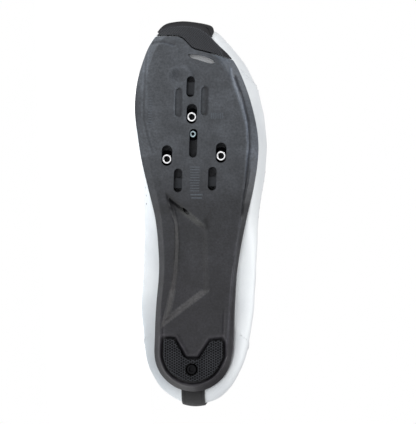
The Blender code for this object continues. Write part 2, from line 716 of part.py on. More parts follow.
vent_points = [(x, y, z) for (x, y), z in zip(vent_outline, vent_low)]
vent_points += [(x, y, z + SCREEN_THICK) for (x, y), z in zip(vent_outline, vent_low)]
vent_count = len(vent_outline)
vent_faces = [tuple(range(vent_count)), tuple(range(vent_count, 2 * vent_count))]
vent_faces += [
    (i, (i + 1) % vent_count, vent_count + (i + 1) % vent_count, vent_count + i) for i in range(vent_count)
]
add_mesh("vent_screen", vent_points, vent_faces, "screen")


# Insole, over the turned margin

def insole_loop(inset, lift):
    """The rim lies on the straight slope of the turned margin."""
    loop = ring_points(inset, lambda xy: sole_top(xy) + lift)
    if inset < MARGIN_WIDTH:
        edge = ring_points(0.0, lambda xy: edge_top(xy[..., 1]))[:, 2]
        end = ring_points(MARGIN_WIDTH, sole_top)[:, 2]
        loop[:, 2] = edge + (end - edge) * (inset - UPPER_WALL) / (MARGIN_WIDTH - UPPER_WALL) + lift
    return loop


insole_top_lift = INSOLE_LIFT + INSOLE_THICK
ring_body("insole", [
    insole_loop(MARGIN_WIDTH, INSOLE_LIFT), insole_loop(INSOLE_INSET, INSOLE_LIFT),
    insole_loop(INSOLE_INSET, insole_top_lift), insole_loop(MARGIN_WIDTH, insole_top_lift),
], lambda xy: sole_top(xy) + INSOLE_LIFT, lambda xy: sole_top(xy) + insole_top_lift, "insole", None, 4)

# Upper: one hollow shell from the turned margin to the collar and throat
upper_half = sorted(set(half_turn) | {COUNTER_FRONT + 0.12})
upper_turns = np.array(upper_half + [RING - t for t in upper_half[-2:0:-1]])
steps = np.array(RIB_STEPS)
turn_grid, step_grid = np.meshgrid(upper_turns, steps, indexing="ij")
from_heel = np.minimum(turn_grid, RING - turn_grid)
counter = (from_heel <= COUNTER_FRONT + 1e-6) & (step_grid > 0.1) & (step_grid <= COUNTER_TOP)
proud = np.where(counter, COUNTER_STEP, 0.0)
padded = ease((6.7 - from_heel) / 1.4) * ease((step_grid - 1.35) / 0.45)
wall = UPPER_WALL + (COLLAR_WALL - UPPER_WALL) * padded
outside = off_form(turn_grid, step_grid, proud)
inside = off_form(turn_grid, step_grid, -wall)
inside[..., :2][step_grid == 0] -= (edge_outward(turn_grid) * UPPER_WALL)[step_grid == 0]
foot_inside = (edge_top(edge_xy(turn_grid)[..., 1]) + GAP + UPPER_WALL)[step_grid > 0]
inside[..., 2][step_grid > 0] = np.maximum(inside[..., 2][step_grid > 0], foot_inside)
upper = sheet_solid("upper", outside, inside, "upper", ring=True)


# Tongue, under both edges of the throat

def across_throat(t, steps_on_side, distance, middles=3):
    """Points from the inner side's rib over the throat to the outer side's, a distance off the form."""
    side_in = [off_form(t, s, distance) for s in steps_on_side]
    side_out = [off_form(RING - t, s, distance) for s in steps_on_side]
    start, end = side_in[-1], side_out[-1]
    lead_in = start - off_form(t, 1.9, distance)
    lead_out = end - off_form(RING - t, 1.9, distance)
    span = np.linalg.norm(end - start)
    lead_in = lead_in / np.linalg.norm(lead_in) * span
    lead_out = lead_out / np.linalg.norm(lead_out) * span
    row = list(side_in)
    for i in range(1, middles + 1):
        q = i / (middles + 1)
        row.append(
            start * (1 + 2 * q) * (1 - q) ** 2 + lead_in * q * (1 - q) ** 2
            + end * q * q * (3 - 2 * q) + lead_out * q * q * (1 - q)
        )
    return np.array(row + side_out[::-1])


vamp_r, vamp_s = np.meshgrid(np.linspace(11, 25, 85), np.linspace(1.3, 2.0, 60), indexing="ij")


def under_vamp(x, y, distance):
    vamp = off_form(vamp_r, vamp_s, -distance).reshape(-1, 3)
    return vamp[np.argmin((vamp[:, 0] - x) ** 2 + (vamp[:, 1] - y) ** 2), 2]


def tongue_grid(depth):
    rows = []
    wings = (1.80, 2.0)
    for t in half_turn[(half_turn >= 8) & (half_turn <= 13)]:
        rows.append(across_throat(t, wings, -depth))
    first = across_throat(8.0, (1.97, 2.0), -depth)
    above = []
    for back, lift, narrow in ((1.0, 1.0, 0.84), (0.611, 0.692, 0.90), (0.222, 0.269, 0.92)):
        row = first.copy()
        row[:, 0] = row[:, 0].mean() + (row[:, 0] - row[:, 0].mean()) * narrow
        row[:, 1] -= back * TONGUE_BACK
        row[:, 2] += lift * TONGUE_RISE
        above.append(row)
    last = rows[-1]
    front = []
    for y, narrow in ((0.7404 * LENGTH, 0.86), (0.7684 * LENGTH, 0.68)):
        xs = last[:, 0].mean() + (last[:, 0] - last[:, 0].mean()) * narrow
        front.append(np.array([(x, y, under_vamp(x, y, depth)) for x in xs]))
    return np.array(above + rows + front)


tongue_gap = UPPER_WALL + 2.5 * GAP
sheet_solid("tongue", tongue_grid(tongue_gap), tongue_grid(tongue_gap + TONGUE_THICK), "tongue")

# Straps, over the upper and the throat
for name, first, last in STRAPS:
    turns = half_turn[(half_turn >= first) & (half_turn <= last)]
    sides = [s for s in RIB_STEPS if s >= STRAP_IN]
    low = np.array([across_throat(t, sides, 1.2 * GAP) for t in turns])
    high = np.array([across_throat(t, sides, 1.2 * GAP + STRAP_THICK) for t in turns])
    sheet_solid(name, high, low, "strap")


# Heel strip, up the back over the counter

def strip_grid(distance):
    rows = []
    spread = np.linspace(-1.6, 1.6, 129)
    for s in (0.02, 0.2, 0.45, 0.7, 1.0, 1.2, 1.4, 1.6, 1.8, 1.97):
        line = off_form(spread % RING, s, distance)
        row = []
        for x in np.linspace(STRIP_WIDTH / 2, -STRIP_WIDTH / 2, 5):
            where = np.interp(-(STRIP_MIDDLE + x), -line[::-1, 0], spread[::-1])
            row.append(off_form(where % RING, s, distance))
        rows.append(row)
    return np.array(rows)


strip_low = COUNTER_STEP + 1.3 * GAP
sheet_solid("heel_strip", strip_grid(strip_low + STRIP_THICK), strip_grid(strip_low), "strip")

# Toe bumper's wall, turned up over the toe
BUMPER_FROM, BUMPER_TO = 16.9, 19.45
bumper_turns = np.linspace(BUMPER_FROM, BUMPER_TO, 13)
reach = np.linspace(-1, 1, 13)
crown = 0.93 * (1 - np.abs(reach) ** 2.6)
wall_out, wall_in = [], []
for turn, top in zip(bumper_turns, crown):
    edge = edge_xy(turn)
    out = edge_outward(turn)
    y = edge[1]
    foot, low = float(edge_top(y)), float(underside(y) + bevel_rise(y))
    column_out, column_in = [], []
    for height, deep in ((low + GAP, BUMPER_ROOT), (foot - 3.3 * GAP, BUMPER_ROOT), (foot - 0.7 * GAP, -GAP)):
        column_out.append((*(edge + out * (BUMPER_WALL + GAP)), height))
        column_in.append((*(edge - out * deep), height))
    for share in (0.30, 0.55, 0.78, 1.0):
        s = max(0.10, share * top + 0.06)
        column_out.append(tuple(off_form(turn, s, GAP + BUMPER_WALL * (1 if share < 1 else 0.7))))
        column_in.append(tuple(off_form(turn, s, 1.3 * GAP)))
    wall_out.append(column_out)
    wall_in.append(column_in)
bumper_wall = sheet_solid("bumper_wall", np.array(wall_out), np.array(wall_in), "toe_bumper")
shoe_parts.objects.unlink(bumper_wall)
cutters.objects.link(bumper_wall)
bumper_wall.display_type = "WIRE"
boolean(bumper, bumper_wall, "UNION")


# Rest: on its inner side, on the three places that its own outline gives

bpy.context.view_layer.update()
graph = bpy.context.evaluated_depsgraph_get()
every_point, mass, moment = [], 0.0, Vector((0, 0, 0))
for piece in shoe_parts.objects:
    if piece.type != "MESH":
        continue
    mesh = piece.evaluated_get(graph).to_mesh()
    mesh.calc_loop_triangles()
    points = np.array([(piece.matrix_world @ v.co)[:] for v in mesh.vertices])
    corners = points[np.array([t.vertices[:] for t in mesh.loop_triangles])]
    volumes = np.einsum("ij,ij->i", corners[:, 0], np.cross(corners[:, 1], corners[:, 2])) / 6
    weight = DENSITY[piece["look"]]
    mass += volumes.sum() * weight
    moment += Vector((corners.mean(axis=1) * 0.75 * volumes[:, None]).sum(axis=0) * weight)
    every_point.append(points)
    piece.evaluated_get(graph).to_mesh_clear()
centre = moment / mass
every_point = np.concatenate(every_point)
hull = bmesh.new()
for p in every_point:
    hull.verts.new(p)
bmesh.ops.convex_hull(hull, input=hull.verts)
best = None
for face in hull.faces:
    normal = face.normal.copy()
    if normal.x < 0.8:
        continue
    corner = [v.co.copy() for v in face.verts]
    foot = centre + normal * (corner[0] - centre).dot(normal)
    inside_by = min(
        (b - a).cross(foot - a).dot(normal) / (b - a).length
        for a, b in zip(corner, corner[1:] + corner[:1])
    )
    if best is None or inside_by > best[0]:
        best = (inside_by, normal, corner)
hull.free()
print("mass", round(mass, 4), "centre", [round(c * 1000, 1) for c in centre])
print("rest", round(best[0] * 1000, 2), [round(c, 4) for c in best[1]])
print("corners", [[round(c * 1000, 1) for c in p] for p in best[2]])

to_row = Matrix(((0, -1, 0), (0, 0, 1), (-1, 0, 0)))
down = to_row @ best[1]
turn = down.rotation_difference(Vector((0, 0, -1))).to_matrix() @ to_row
turned = every_point @ np.array(turn).T
low, high = turned.min(axis=0), turned.max(axis=0)
shift = Vector((-(low[0] + high[0]) / 2, -(low[1] + high[1]) / 2, -low[2]))
placing = Matrix.Translation(shift) @ turn.to_4x4()
seat_at = placing @ Vector((*sole_xy(0.111, 0.6667), 0.0))
print("cleat seat", [round(c, 5) for c in seat_at], "faces", [round(c, 5) for c in turn @ Vector((0, 0, -1))])
rest.matrix_world = placing
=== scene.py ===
import math

import bmesh
import bpy
import numpy as np
from mathutils import Matrix, Vector


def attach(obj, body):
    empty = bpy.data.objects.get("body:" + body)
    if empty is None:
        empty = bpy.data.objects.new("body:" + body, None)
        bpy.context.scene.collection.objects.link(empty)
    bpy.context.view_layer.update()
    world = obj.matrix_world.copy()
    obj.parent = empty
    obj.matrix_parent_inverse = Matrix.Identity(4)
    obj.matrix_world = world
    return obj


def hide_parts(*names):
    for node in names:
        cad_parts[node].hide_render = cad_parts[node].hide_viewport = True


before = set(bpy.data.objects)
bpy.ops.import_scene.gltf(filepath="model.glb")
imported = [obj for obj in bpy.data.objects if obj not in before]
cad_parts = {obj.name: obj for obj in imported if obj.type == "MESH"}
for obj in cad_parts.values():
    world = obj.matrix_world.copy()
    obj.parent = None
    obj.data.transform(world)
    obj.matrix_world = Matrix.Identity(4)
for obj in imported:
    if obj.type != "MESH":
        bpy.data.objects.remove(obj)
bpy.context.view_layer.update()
print("frame loaded")

# The shoe's own frame: x to the big toe side, y from heel to toe, z up from the ground, in metres.
shoe = {
    "length": 0.285,
    "soleWidth": 0.090,
    "upperWidth": 0.099,
    "collarHeight": 0.093,
    "archHeight": 0.024,
    "gap": 0.0003,
    "bevelWidth": 0.0062,
    "marginWidth": 0.0080,
    "dishWidth": 0.022,
    "upperWall": 0.0020,
    "collarWall": 0.0050,
    "tongueThick": 0.0036,
    "strapThick": 0.0016,
    "padThick": 0.0052,
}
toe = 18    # ring number at the toe; the heel is 0
ring = 36    # ring numbers round the shoe, up the inner side and back down the outer side

# Where the shoe lies, on its inner side: the rows turn a point of the shoe's frame into the row's.
placing = Matrix((
    (-0.039404, -0.999221, 0.002356, 0.141256243),
    (0.119106, -0.002356, 0.992879, -0.050736245),
    (-0.992099, 0.039404, 0.119106, 0.035139851),
    (0.0, 0.0, 0.0, 1.0),
))
turnRows = np.array(placing)[:3, :3]
shiftRow = np.array(placing)[:3, 3]

formRows = (
    # edgeY soleIn soleOut wideY wideIn wideOut wideZ topY topIn topOut topZ lean straight
    (0.037, 0.008, 0.008, 0.000, 0.008, 0.008, 0.300, 0.028, 0.005, 0.005, 0.989, 50, 0.0),
    (0.044, 0.124, -0.108, 0.012, 0.143, -0.143, 0.300, 0.040, 0.141, -0.131, 0.978, 50, 0.0),
    (0.064, 0.223, -0.207, 0.043, 0.260, -0.252, 0.298, 0.077, 0.242, -0.237, 0.925, 50, 0.0),
    (0.091, 0.290, -0.273, 0.081, 0.331, -0.316, 0.292, 0.126, 0.293, -0.288, 0.817, 52, 0.0),
    (0.128, 0.325, -0.310, 0.125, 0.377, -0.371, 0.288, 0.175, 0.308, -0.303, 0.742, 55, 0.0),
    (0.186, 0.323, -0.323, 0.183, 0.399, -0.406, 0.286, 0.232, 0.303, -0.303, 0.720, 58, 0.0),
    (0.261, 0.318, -0.328, 0.261, 0.421, -0.434, 0.296, 0.295, 0.278, -0.288, 0.796, 60, 0.0),
    (0.342, 0.306, -0.339, 0.348, 0.410, -0.442, 0.325, 0.365, 0.212, -0.242, 0.985, 64, 0.0),
    (0.416, 0.315, -0.372, 0.418, 0.406, -0.452, 0.345, 0.428, 0.177, -0.207, 0.985, 68, 0.1),
    (0.489, 0.335, -0.422, 0.491, 0.406, -0.458, 0.355, 0.498, 0.162, -0.192, 0.905, 72, 0.3),
    (0.562, 0.381, -0.480, 0.562, 0.410, -0.489, 0.368, 0.565, 0.146, -0.177, 0.815, 75, 0.6),
    (0.633, 0.434, -0.516, 0.633, 0.434, -0.512, 0.380, 0.628, 0.131, -0.162, 0.738, 78, 0.9),
    (0.695, 0.467, -0.518, 0.695, 0.472, -0.516, 0.388, 0.681, 0.106, -0.136, 0.683, 80, 1.0),
    (0.763, 0.494, -0.478, 0.763, 0.489, -0.488, 0.390, 0.709, 0.076, -0.106, 0.652, 80, 1.0),
    (0.831, 0.481, -0.409, 0.831, 0.468, -0.438, 0.390, 0.723, 0.045, -0.076, 0.638, 80, 1.0),
    (0.894, 0.434, -0.310, 0.897, 0.421, -0.339, 0.390, 0.728, 0.022, -0.053, 0.634, 80, 0.8),
    (0.941, 0.377, -0.166, 0.949, 0.367, -0.214, 0.390, 0.731, 0.008, -0.038, 0.633, 80, 0.5),
    (0.974, 0.288, -0.054, 0.980, 0.278, -0.112, 0.390, 0.732, -0.004, -0.026, 0.633, 80, 0.3),
    (0.988, 0.112, 0.112, 0.990, 0.102, 0.102, 0.390, 0.733, -0.015, -0.015, 0.633, 80, 0.2),
)

soleRows = (
    # along underside shell edgeTop bevelRise
    (0.036, 0.190, 0.400, 0.770, 0.230),
    (0.063, 0.125, 0.420, 0.750, 0.250),
    (0.140, 0.125, 0.420, 0.740, 0.250),
    (0.204, 0.125, 0.420, 0.760, 0.250),
    (0.263, 0.270, 0.330, 0.850, 0.250),
    (0.323, 0.500, 0.250, 0.970, 0.240),
    (0.379, 0.625, 0.210, 1.010, 0.230),
    (0.428, 0.590, 0.210, 0.960, 0.210),
    (0.484, 0.396, 0.210, 0.770, 0.200),
    (0.533, 0.133, 0.190, 0.520, 0.190),
    (0.579, 0.000, 0.175, 0.350, 0.158),
    (0.649, 0.000, 0.167, 0.270, 0.140),
    (0.789, 0.000, 0.167, 0.270, 0.140),
    (0.842, 0.050, 0.167, 0.340, 0.150),
    (0.895, 0.175, 0.167, 0.480, 0.165),
    (0.940, 0.360, 0.167, 0.660, 0.175),
    (0.968, 0.500, 0.167, 0.790, 0.175),
    (0.990, 0.625, 0.167, 0.900, 0.165),
)


# curves through the tables

def ease(x):
    x = np.clip(x, 0, 1)
    return x * x * (3 - 2 * x)


def bell(x, width):
    return np.exp(-(x / width) ** 2)


def unit(vectors):
    return vectors / np.linalg.norm(vectors, axis=-1, keepdims=True)


def smoothCurve(xs, ys, x):
    xs, ys = np.asarray(xs, float), np.asarray(ys, float)
    x = np.clip(x, xs[0], xs[-1])
    step = np.diff(xs)
    slope = np.diff(ys) / step
    tangent = np.zeros(len(xs))
    for i in range(1, len(xs) - 1):
        if slope[i - 1] * slope[i] > 0:
            a, b = 2 * step[i] + step[i - 1], step[i] + 2 * step[i - 1]
            tangent[i] = (a + b) / (a / slope[i - 1] + b / slope[i])
    tangent[0], tangent[-1] = slope[0], slope[-1]
    i = np.clip(np.searchsorted(xs, x, side="right") - 1, 0, len(xs) - 2)
    h = step[i]
    t = (x - xs[i]) / h
    return (
        ys[i] * (1 + 2 * t) * (1 - t) ** 2 + tangent[i] * h * t * (1 - t) ** 2
        + ys[i + 1] * t * t * (3 - 2 * t) + tangent[i + 1] * h * t * t * (t - 1)
    )


soleAlong = [row[0] * shoe["length"] for row in soleRows]


def soleCurve(column, y):
    return smoothCurve(soleAlong, [row[column] * shoe["archHeight"] for row in soleRows], y)


def ringColumns():
    rows = []
    for r in range(ring):
        inner = r <= toe
        row = formRows[r if inner else ring - r]
        side = 0 if inner else 1
        rows.append((
            row[1 + side] * shoe["soleWidth"], row[0] * shoe["length"],
            row[4 + side] * shoe["upperWidth"], row[3] * shoe["length"], row[6] * shoe["collarHeight"],
            row[8 + side] * shoe["upperWidth"], row[7] * shoe["length"], row[10] * shoe["collarHeight"],
            math.radians(row[11]), row[12],
        ))
    return np.array(rows)


ringTable = ringColumns()


def roundRing(r):
    r = np.asarray(r, float)
    i = np.floor(r).astype(int)
    t = (r - i)[..., None]
    p0, p1, p2, p3 = (ringTable[(i + k) % ring] for k in (-1, 0, 1, 2))
    square, cube = 2 * p0 - 5 * p1 + 4 * p2 - p3, 3 * p1 - p0 - 3 * p2 + p3
    return 0.5 * (2 * p1 + (p2 - p0) * t + square * t ** 2 + cube * t ** 3)


def edgeXy(r):
    return roundRing(r)[..., 0:2]


def edgeOutward(r):
    ahead = edgeXy(np.asarray(r) + 0.02) - edgeXy(np.asarray(r) - 0.02)
    out = np.stack([ahead[..., 1], -ahead[..., 0]], axis=-1)
    return unit(out)


outline = edgeXy(np.linspace(0, ring, 721)[:-1])


def edgeDistance(xy):
    flat = np.asarray(xy, float).reshape(-1, 2)
    found = np.empty(len(flat))
    ends = np.roll(outline, -1, axis=0)
    for start in range(0, len(flat), 4000):
        part = flat[start:start + 4000, None, :]
        run = ends - outline
        t = np.clip(((part - outline) * run).sum(axis=2) / (run ** 2).sum(axis=1), 0, 1)
        found[start:start + 4000] = np.linalg.norm(part - outline - t[..., None] * run, axis=2).min(axis=1)
    return found.reshape(np.asarray(xy).shape[:-1])


def soleTop(xy):
    y = xy[..., 1]
    low = soleCurve(1, y) + soleCurve(2, y)
    rim = np.clip(1 - edgeDistance(xy) / shoe["dishWidth"], 0, 1) ** 2
    return low + (soleCurve(3, y) - low) * rim


def form(r, s):
    r, s = np.broadcast_arrays(np.asarray(r, float), np.asarray(s, float))
    c = roundRing(r)
    edge, wide, top = c[..., 0:2], c[..., 2:4], c[..., 5:7]
    wideZ, topZ, lean, straight = c[..., 4], c[..., 7], c[..., 8], c[..., 9]
    foot = soleCurve(3, edge[..., 1]) + shoe["gap"]
    a = np.clip(s, 0, 1) * math.pi / 2
    b = np.clip(s - 1, 0, 1) * lean
    across = (1 - np.cos(b)) / (1 - np.cos(lean))
    up = np.sin(b) / np.sin(lean)
    swell = np.sin(a) * (1 - straight) + (1 - np.cos(a)) * straight
    xy = edge + (wide - edge) * swell[..., None] + (top - wide) * across[..., None]
    z = foot + (wideZ - foot) * (1 - np.cos(a)) + (topZ - wideZ) * up
    turned = s < 0
    if turned.any():
        inset = edge - edgeOutward(r) * (np.clip(-s, 0, 1) * shoe["marginWidth"])[..., None]
        xy = np.where(turned[..., None], inset, xy)
        z[turned] = soleTop(inset[turned]) + shoe["gap"]
    return np.concatenate([xy, z[..., None]], axis=-1)


def formOutward(r, s):
    r, s = np.broadcast_arrays(np.asarray(r, float), np.asarray(s, float))
    held = np.clip(s, 0.03, 1.99)
    return unit(np.cross(
        form(r + 0.05, held) - form(r - 0.05, held), form(r, held + 0.01) - form(r, held - 0.01),
    ))


def offForm(r, s, distance):
    r, s = np.broadcast_arrays(np.asarray(r, float), np.asarray(s, float))
    return form(r, s) + formOutward(r, s) * np.asarray(distance)[..., None]


def segmentDistance(points, a, b):
    run = b - a
    t = np.clip(((points - a) @ run) / (run @ run), 0, 1)
    return np.linalg.norm(points - a - t[..., None] * run, axis=-1)


def outlineDistance(points, corners):
    points = np.asarray(points, float)  # signed, negative inside
    corners = np.asarray(corners, float)
    best = np.full(points.shape[:-1], 1e9)
    inside = np.zeros(points.shape[:-1], bool)
    for a, b in zip(corners, np.roll(corners, -1, axis=0)):
        best = np.minimum(best, segmentDistance(points, a, b))
        crosses = (a[1] > points[..., 1]) != (b[1] > points[..., 1])
        if a[1] != b[1]:
            share = (points[..., 1] - a[1]) / (b[1] - a[1])
            inside ^= crosses & (points[..., 0] < (b[0] - a[0]) * share + a[0])
    return np.where(inside, -best, best)


def pathDistance(points, path):
    best = np.full(points.shape[:-1], 1e9)
    for a, b in zip(path[:-1], path[1:]):
        best = np.minimum(best, segmentDistance(points, a, b))
    return best


def ovalDistance(points, centre):
    return np.linalg.norm((points - np.array(centre)) * np.array([0.8, 1.0]), axis=-1)


def lengthAlong(points):
    return np.concatenate([[0], np.cumsum(np.linalg.norm(np.diff(points, axis=0), axis=1))])


# meshes

def toRow(points):
    return np.asarray(points, float) @ turnRows.T + shiftRow


def newObject(name, data):
    made = bpy.data.objects.new(name, data)
    bpy.context.scene.collection.objects.link(made)
    return made


def recoat(piece, material):
    piece.data.materials.clear()
    piece.data.materials.append(material)


def makeMesh(
    name, points, faces, materials, node=None, faceMaterial=None, sharp=38, shown=True,
):
    mesh = bpy.data.meshes.new(name)
    mesh.from_pydata(toRow(points).tolist(), [], [tuple(int(i) for i in f) for f in faces])
    for m in materials:
        mesh.materials.append(m)
    if faceMaterial is not None:
        mesh.polygons.foreach_set("material_index", np.asarray(faceMaterial, np.int32))
    work = bmesh.new()
    work.from_mesh(mesh)
    bmesh.ops.remove_doubles(work, verts=work.verts, dist=0.000003)
    bmesh.ops.recalc_face_normals(work, faces=work.faces)
    if work.calc_volume(signed=True) < 0:
        bmesh.ops.reverse_faces(work, faces=work.faces)
    work.to_mesh(mesh)
    work.free()
    piece = newObject(name, mesh)
    if shown:
        dress(piece, node, sharp)
    return piece


def dress(piece, node, sharp):
    piece.data.polygons.foreach_set("use_smooth", [True] * len(piece.data.polygons))
    piece.data.set_sharp_from_angle(angle=math.radians(sharp))
    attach(piece, "root")
    if node:
        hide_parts(*([node] if isinstance(node, str) else node))


def gridFaces(rows, columns, start=0, closedRows=False, closedColumns=False):
    i = np.arange(rows if closedRows else rows - 1)
    k = np.arange(columns if closedColumns else columns - 1)
    i, k = (g.ravel() for g in np.meshgrid(i, k, indexing="ij"))
    j, m = (i + 1) % rows, (k + 1) % columns
    return np.stack([i * columns + k, j * columns + k, j * columns + m, i * columns + m], axis=1) + start


def stackFaces(start, levels, sides):
    # skin of a stack of outlines with the same number of points, capped at both ends
    last = start + (levels - 1) * sides
    faces = [tuple(f) for f in gridFaces(levels, sides, start, closedColumns=True)]
    return faces + [tuple(range(start, start + sides)), tuple(range(last, last + sides))[::-1]]


def loopSolid(name, loops, materials, node=None, sharp=38, shown=True):
    loops = np.asarray(loops)  # sections, each a closed loop of points, capped at both ends
    rows, columns = loops.shape[:2]
    faces = [tuple(f) for f in gridFaces(rows, columns, closedColumns=True)]
    points = list(loops.reshape(-1, 3))
    for row in (0, rows - 1):
        points.append(loops[row].mean(axis=0))
        middle = len(points) - 1
        faces += [(row * columns + k, row * columns + (k + 1) % columns, middle) for k in range(columns)]
    return makeMesh(name, points, faces, materials, node, sharp=sharp, shown=shown)


def prismMesh(name, outlineXy, low, high):
    return ringStack(name, [outlineXy, outlineXy], [low, high], [])


def ringStack(name, outlines, heights, materials):
    points = [(x, y, z) for line, z in zip(outlines, heights) for x, y in line]
    faces = stackFaces(0, len(outlines), len(outlines[0]))
    return makeMesh(name, points, faces, materials, shown=False)


def cut(piece, other, operation="DIFFERENCE"):
    modifier = piece.modifiers.new("cut", "BOOLEAN")
    modifier.solver = "EXACT"
    modifier.operation = operation
    modifier.object = other
    graph = bpy.context.evaluated_depsgraph_get()
    made = bpy.data.meshes.new_from_object(piece.evaluated_get(graph))
    piece.modifiers.clear()
    piece.data = made
    bpy.data.objects.remove(other)


def joined(name, objects):
    work = bmesh.new()
    for o in objects:
        work.from_mesh(o.data)
        bpy.data.objects.remove(o)
    mesh = bpy.data.meshes.new(name)
    work.to_mesh(mesh)
    work.free()
    return newObject(name, mesh)


def stadium(x, y, width, length, lean, steps):
    half, straight = width / 2, length / 2 - width / 2
    turns = [math.pi * i / steps for i in range(steps + 1)]
    around = [(half * math.cos(a), straight + half * math.sin(a)) for a in turns]
    around += [(-half * math.cos(a), -straight - half * math.sin(a)) for a in turns]
    c, s = math.cos(math.radians(lean)), math.sin(math.radians(lean))
    return [(x + u * c - v * s, y + u * s + v * c) for u, v in around]


def grown(corners, distance):
    points = np.asarray(corners, float)
    area = np.sum(points[:, 0] * np.roll(points[:, 1], -1) - points[:, 1] * np.roll(points[:, 0], -1))
    turn = 1 if area > 0 else -1
    moved = []
    for p, a, b in zip(points, points - np.roll(points, 1, axis=0), np.roll(points, -1, axis=0) - points):
        na, nb = np.array([a[1], -a[0]]) * turn, np.array([b[1], -b[0]]) * turn
        mitre = unit(na) + unit(nb)
        moved.append(p + mitre * distance / max(0.9, 0.5 * mitre @ mitre))
    return np.array(moved)


def rounded(corners, radius, steps):
    corners = np.asarray(corners, float)
    made = []
    for before, p, after in zip(np.roll(corners, 1, axis=0), corners, np.roll(corners, -1, axis=0)):
        a, b = before - p, after - p
        la, lb = np.linalg.norm(a), np.linalg.norm(b)
        reach = min(radius, la * 0.45, lb * 0.45)
        start, end = p + a / la * reach, p + b / lb * reach
        for i in range(steps + 1):
            t = i / steps
            made.append(start * (1 - t) ** 2 + p * 2 * t * (1 - t) + end * t * t)
    return np.array(made)


def placed(shares):
    return np.array([(x * shoe["soleWidth"], y * shoe["length"]) for x, y in shares])


# material helpers

def addNode(tree, kind, inputs=(), **settings):
    made = tree.nodes.new("ShaderNode" + kind)
    for key, value in settings.items():
        setattr(made, key, value)
    for key, value in dict(inputs).items():
        socket = made.inputs[key]
        if isinstance(value, bpy.types.NodeSocket):
            tree.links.new(value, socket)
        else:
            socket.default_value = value
    return made


def newMaterial(
    name, colour, roughness, metallic=0.0, coat=0.0, coatRoughness=0.2, sheen=0.0, specular=0.5,
):
    made = bpy.data.materials.new(name)
    made.use_nodes = True
    tree = made.node_tree
    shader = tree.nodes["Principled BSDF"]
    shader.inputs["Base Color"].default_value = (*colour, 1)
    shader.inputs["Roughness"].default_value = roughness
    shader.inputs["Metallic"].default_value = metallic
    shader.inputs["Coat Weight"].default_value = coat
    shader.inputs["Coat Roughness"].default_value = coatRoughness
    shader.inputs["Sheen Weight"].default_value = sheen
    shader.inputs["Specular IOR Level"].default_value = specular
    return made, tree, shader


def shoePoint(tree):
    where = addNode(tree, "TexCoord").outputs["Object"]
    turn = {"Location": placing.to_translation(), "Rotation": placing.to_3x3().to_euler()}
    return addNode(tree, "Mapping", {"Vector": where, **turn}, vector_type="TEXTURE").outputs[0]


def turnedPoint(tree, vector, degrees):
    turn = (0, 0, math.radians(degrees))
    return addNode(tree, "Mapping", {"Vector": vector, "Rotation": turn}).outputs[0]


def noiseNode(tree, vector, scale, detail=3.0, roughness=0.55):
    inputs = {"Vector": vector, "Scale": scale, "Detail": detail, "Roughness": roughness}
    return addNode(tree, "TexNoise", inputs).outputs["Fac"]


def waveNode(tree, vector, scale, direction="X", **bend):
    inputs = {"Vector": vector, "Scale": scale, **bend}
    return addNode(tree, "TexWave", inputs, bands_direction=direction).outputs["Fac"]


def poresNode(tree, vector, scale, randomness=1.0):
    inputs = {"Vector": vector, "Scale": scale, "Randomness": randomness}
    return addNode(tree, "TexVoronoi", inputs).outputs["Distance"]


def paintedLayer(tree, name, output="Color"):
    return addNode(tree, "Attribute", attribute_name=name, attribute_type="GEOMETRY").outputs[output]


def facing(tree, direction):
    inputs = {0: addNode(tree, "NewGeometry").outputs["Normal"], 1: tuple(direction)}
    return addNode(tree, "VectorMath", inputs, operation="DOT_PRODUCT").outputs["Value"]


def rampNode(tree, fac, stops):
    ramp = addNode(tree, "ValToRGB", {"Fac": fac})
    band = ramp.color_ramp
    while len(band.elements) < len(stops):
        band.elements.new(0.5)
    for element, (at, value) in zip(band.elements, stops):
        element.position = at
        element.color = (*value, 1) if isinstance(value, tuple) else (value, value, value, 1)
    return ramp.outputs["Color"]


def mathNode(tree, operation, a, b=None):
    inputs = {0: a}
    if b is not None:
        inputs[1] = b
    return addNode(tree, "Math", inputs, operation=operation).outputs[0]


def mixNode(tree, fac, a, b, blend="MIX"):
    made = addNode(tree, "Mix", data_type="RGBA", blend_type=blend)
    for socket, value in ((made.inputs[0], fac), (made.inputs[6], a), (made.inputs[7], b)):
        if isinstance(value, bpy.types.NodeSocket):
            tree.links.new(value, socket)
        else:
            socket.default_value = (*value, 1) if isinstance(value, tuple) else value
    return made.outputs[2]


def tinted(tree, colour, tint):
    return mixNode(tree, 1.0, colour, tint, "MULTIPLY")


def scaled(tree, value, factor):
    return mathNode(tree, "MULTIPLY", value, factor)


def summed(tree, a, b):
    return mathNode(tree, "ADD", a, b)


def setColour(tree, shader, colour):
    tree.links.new(colour, shader.inputs["Base Color"])


def addBump(tree, shader, height, strength, distance):
    made = addNode(tree, "Bump", {"Height": height, "Strength": strength, "Distance": distance})
    tree.links.new(made.outputs[0], shader.inputs["Normal"])


# outsole

soleLook = {
    "toeColour": (0.047, 0.052, 0.060),
    "heelColour": (0.0135, 0.0128, 0.0160),
    "roughness": 0.36,
    "waistWallHighlight": (1.18, 1.16, 1.12),
    "foreWallHighlight": (1.55, 1.58, 1.62),
    "heelwardShade": 0.55,
    "panelDepth": 0.0027,
    "panelSlope": 0.0036,
    "grooveDepth": 0.0024,
    "pitDepth": 0.0046,
    "pitAlong": 0.143,
    "lobe": (0.150, 0.520),    # shares of the sole's width and length
    "dimple": (0.0112, 0.2440),    # metres, as is what follows
    "dimpleRadius": 0.0036,
    "dimpleRim": 0.0062,
    "crease": ((0.0320, 0.2680), (0.0240, 0.2690), (0.0160, 0.2668)),
    "pocketRim": 0.0026,
    "heelLine": 0.0068,
    "heelLineTop": 0.075,
    "slotLean": 1.5,
    "stepsAlong": 340,
    "stepsAcross": 112,
    "stepsTop": 25,
}
